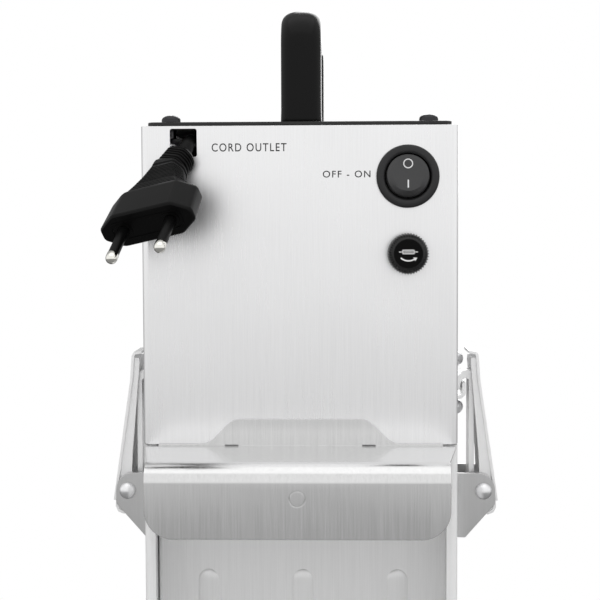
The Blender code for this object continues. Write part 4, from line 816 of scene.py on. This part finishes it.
def make_handle():
    """Bow handle with a full oval section and softly rounded feet."""
    low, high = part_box("carry_handle")
    screw_low, screw_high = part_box("handle_screw_rear")
    rear_leg_y = (screw_low.y + screw_high.y) / 2
    reach, bend = MIDDLE_Y - rear_leg_y, HANDLE_BEND_R
    top = high.z - low.z - HANDLE_DEPTH / 2
    stations = [(-reach, rise * MM, 90.0, flare * MM) for rise, flare in HANDLE_FOOT]
    stations.append((-reach, top - bend, 90.0, 0.0))
    for angle in range(171, 89, -9):
        a = math.radians(angle)
        y, z = -reach + bend + bend * math.cos(a), top - bend + bend * math.sin(a)
        stations.append((y, z, angle - 90.0, 0.0))
    stations += [(-y, z, -angle, flare) for y, z, angle, flare in stations[::-1]]
    sections = []
    for y, z, angle, flare in stations:
        a = math.radians(angle)
        across = Vector((0.0, -math.sin(a), math.cos(a)))
        centre = Vector((0.0, MIDDLE_Y + y, low.z + z))
        sections.append([centre + Vector((px, 0.0, 0.0)) + across * py
                         for px, py in handle_section(HANDLE_WIDTH + flare, HANDLE_DEPTH + flare)])
    piece("handle_bow", loft(sections), HANDLE_PLASTIC, "head", ["carry_handle"],
          angle=60.0)


def screw_head(centre, base, height):
    """A round pan head on a square grid of points, sunk along a cross and closed underneath."""
    bm = bmesh.new()
    spots = {}
    for i in range(-SCREW_GRID, SCREW_GRID + 1):
        for j in range(-SCREW_GRID, SCREW_GRID + 1):
            x, y = SCREW_R * i / SCREW_GRID, SCREW_R * j / SCREW_GRID
            length = math.hypot(x, y)
            scale = max(abs(x), abs(y)) / length if length else 1.0
            x, y = x * scale, y * scale
            dome = math.sqrt(max(1.0 - (math.hypot(x, y) / SCREW_R) ** SCREW_DOME, 0.0))
            z = base + SCREW_EDGE + (height - SCREW_EDGE) * dome
            spots[i, j] = bm.verts.new((centre.x + x, centre.y + y, z))
    for i in range(-SCREW_GRID, SCREW_GRID):
        for j in range(-SCREW_GRID, SCREW_GRID):
            bm.faces.new((spots[i, j], spots[i + 1, j], spots[i + 1, j + 1], spots[i, j + 1]))
    for v in bm.verts:
        x, y = v.co.x - centre.x, v.co.y - centre.y
        arm, reach = min(abs(x), abs(y)), max(abs(x), abs(y))
        if arm < RECESS_HALF_WIDTH and reach < RECESS_REACH:
            v.co.z -= RECESS_DEPTH * (1.0 - reach / RECESS_SLOPE)
    rim = [e for e in bm.edges if len(e.link_faces) == 1]
    skirt = bmesh.ops.extrude_edge_only(bm, edges=rim)["geom"]
    for v in skirt:
        if isinstance(v, bmesh.types.BMVert):
            v.co.z = base
    bmesh.ops.holes_fill(bm, edges=[e for e in bm.edges if len(e.link_faces) == 1], sides=0)
    return bm


def make_screws():
    """Pan-head lid screws with a cross recess and a shank through the lid."""
    _, lid_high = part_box("head_lid")
    base = lid_high.z + SCREW_GAP
    for name in ("rear_left", "rear_right", "front_left", "front_right"):
        node = "lid_screw_" + name
        low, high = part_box(node)
        centre = (low + high) / 2
        head = screw_head(centre, base, high.z - base + SCREW_EXTRA)
        shank = turned([(0.0, 0.0), (SHANK_R, 0.0), (SHANK_R, SHANK_LENGTH), (0.0, SHANK_LENGTH)], 24)
        upright = Matrix.Rotation(math.radians(90.0), 4, "X")
        down = Matrix.Translation((centre.x, centre.y, base + SHANK_RISE)) @ upright
        bmesh.ops.transform(shank, matrix=down, verts=shank.verts)
        piece(node + "_head", joined([head, shank]), DARK_STEEL, "head", [node])


# ---------------------------------------------------------------- carried-over nodes

# Look and edge radius in mm of the nodes with rounded edges.
SOFTENED = {
    "head_shell": (STEEL, 0.12),
    "head_front_panel": (STEEL, 0.15),
    "base_frame": (FRAME_STEEL, 0.12),
    "base_front_cover": (STEEL, 0.12),
    "hook_plate": (SHADED_HOOK_STEEL, 0.15),
    "cheese_tank": (TANK_STEEL, 0.12),
    "head_lid": (ENAMEL, 0.3),
    "keeper_left": (LIT_LATCH_STEEL, 0.2),
    "keeper_right": (LIT_LATCH_STEEL, 0.2),
    "latch_bracket_left": (BRACKET_STEEL, 0.2),
    "latch_bracket_right": (BRACKET_STEEL, 0.2),
    "latch_lever_left": (LIT_LATCH_STEEL, 0.2),
    "latch_lever_right": (LIT_LATCH_STEEL, 0.2),
    "latch_link_left": (LIT_LATCH_STEEL, 0.2),
    "latch_link_right": (LIT_LATCH_STEEL, 0.2),
    "drip_tray": (TRAY_STEEL, 0.15),
    "drip_grille": (TRAY_STEEL, 0.12),
    "cord_clamp": (PLASTIC, 0.4),
    "motor_bridge": (MOTOR_STEEL, 0.12),
    "head_floor": (TANK_STEEL, 0.12),
}
# Nodes that only get smooth shading and a look.
SMOOTHED = {
    "keeper_nut_lower_left": RIVET_STEEL,
    "keeper_nut_lower_right": RIVET_STEEL,
    "keeper_nut_upper_left": RIVET_STEEL,
    "keeper_nut_upper_right": RIVET_STEEL,
    "latch_pivot_left": RIVET_STEEL,
    "latch_pivot_right": RIVET_STEEL,
    "spout": BRIGHT_STEEL,
    "auger": ACETAL,
    "pump_tube": ACETAL,
    "heater_rod": BRIGHT_STEEL,
    "temperature_probe": BRIGHT_STEEL,
    "gearbox": MOTOR_STEEL,
    "drive_motor": MOTOR_STEEL,
    "dispense_button": RED_PLASTIC,
    "thermostat_knob": PLASTIC,
    "pilot_lamp": AMBER,
    "foot_rear_left": RUBBER,
    "foot_rear_right": RUBBER,
    "foot_front_left": RUBBER,
    "foot_front_right": RUBBER,
}
# Nodes that show as they are, with a look.
KEPT = {
    "tank_seal": SILICONE,
    "shaft_seal": SILICONE,
    "drive_coupling": BRIGHT_STEEL,
    "fuse_link": GLASS,
    "handle_screw_rear": DARK_STEEL,
    "handle_screw_front": DARK_STEEL,
}


def dress_nodes():
    for node, (look, width) in SOFTENED.items():
        softened(node, look, width * MM)
    for node, look in SMOOTHED.items():
        softened(node, look, 0.0, angle=50.0)
    for node, look in KEPT.items():
        frame["nodes"][node].material_slots[0].material = look


# ---------------------------------------------------------------- studio

def make_world():
    """Pale studio surround, bright level and overhead and darker elsewhere, with a white backdrop."""
    world = bpy.data.worlds.new("studio")
    bpy.context.scene.world = world
    world.use_nodes = True
    tree = world.node_tree
    tree.nodes.clear()
    output = tree.nodes.new("ShaderNodeOutputWorld")
    seen = tree.nodes.new("ShaderNodeBackground")
    lit = tree.nodes.new("ShaderNodeBackground")
    choose = tree.nodes.new("ShaderNodeMixShader")
    rays = tree.nodes.new("ShaderNodeLightPath")
    where = tree.nodes.new("ShaderNodeTexCoord")
    split = tree.nodes.new("ShaderNodeSeparateXYZ")
    ramp = tree.nodes.new("ShaderNodeValToRGB")
    ranger = tree.nodes.new("ShaderNodeMapRange")
    fall = tree.nodes.new("ShaderNodeMapRange")
    seen.inputs["Color"].default_value = (1.0, 1.0, 1.0, 1.0)
    ranger.inputs["From Min"].default_value = -1.0
    ranger.inputs["From Max"].default_value = 1.0
    fall.inputs["From Min"].default_value = SKY_FALL_FROM
    fall.inputs["From Max"].default_value = SKY_FALL_TO
    fall.inputs["To Min"].default_value = 1.0
    fall.inputs["To Max"].default_value = SKY_FALL_LEVEL
    elements = ramp.color_ramp.elements
    for i, (spot, level) in enumerate(SKY_LEVELS):
        element = elements[i] if i < 2 else elements.new(spot)
        element.position = spot
        element.color = (level, level, level, 1.0)
    tree.links.new(where.outputs["Generated"], split.inputs["Vector"])
    tree.links.new(split.outputs["Z"], ranger.inputs["Value"])
    tree.links.new(ranger.outputs["Result"], ramp.inputs["Fac"])
    tree.links.new(ramp.outputs["Color"], lit.inputs["Color"])
    tree.links.new(split.outputs["Y"], fall.inputs["Value"])
    tree.links.new(fall.outputs["Result"], lit.inputs["Strength"])
    tree.links.new(rays.outputs["Is Camera Ray"], choose.inputs["Fac"])
    tree.links.new(lit.outputs["Background"], choose.inputs[1])
    tree.links.new(seen.outputs["Background"], choose.inputs[2])
    tree.links.new(choose.outputs["Shader"], output.inputs["Surface"])


def area_light(name, place, size, power):
    data = bpy.data.lights.new(name, "AREA")
    data.shape = "RECTANGLE"
    data.size, data.size_y = size
    data.energy = power
    made = bpy.data.objects.new(name, data)
    made.location = place
    made.rotation_euler = (Vector(LIGHT_TARGET) - Vector(place)).to_track_quat("-Z", "Y").to_euler()
    bpy.context.scene.collection.objects.link(made)


def make_studio():
    make_world()
    for name, place, size, power in SOFT_BOXES:
        area_light(name, place, size, power)
    bm = bmesh.new()
    bmesh.ops.create_circle(bm, cap_ends=True, segments=96, radius=FLOOR_R)
    mesh = bpy.data.meshes.new("floor")
    bm.to_mesh(mesh)
    bm.free()
    pale, _, shader = new_material("pale_floor", 0.8)
    shader.inputs["Base Color"].default_value = (FLOOR_TONE, FLOOR_TONE, FLOOR_TONE, 1.0)
    mesh.materials.append(pale)
    floor = bpy.data.objects.new("floor", mesh)
    bpy.context.scene.collection.objects.link(floor)
    floor.visible_glossy = False
    bpy.context.scene.view_settings.view_transform = "Standard"
    bpy.context.scene.view_settings.look = "None"


make_camera()
lead, lead_exit = make_cord()
plug_pieces = make_plug()
make_studio()
make_switch()
make_fuse()
make_labels()
make_handle()
make_screws()
dress_nodes()
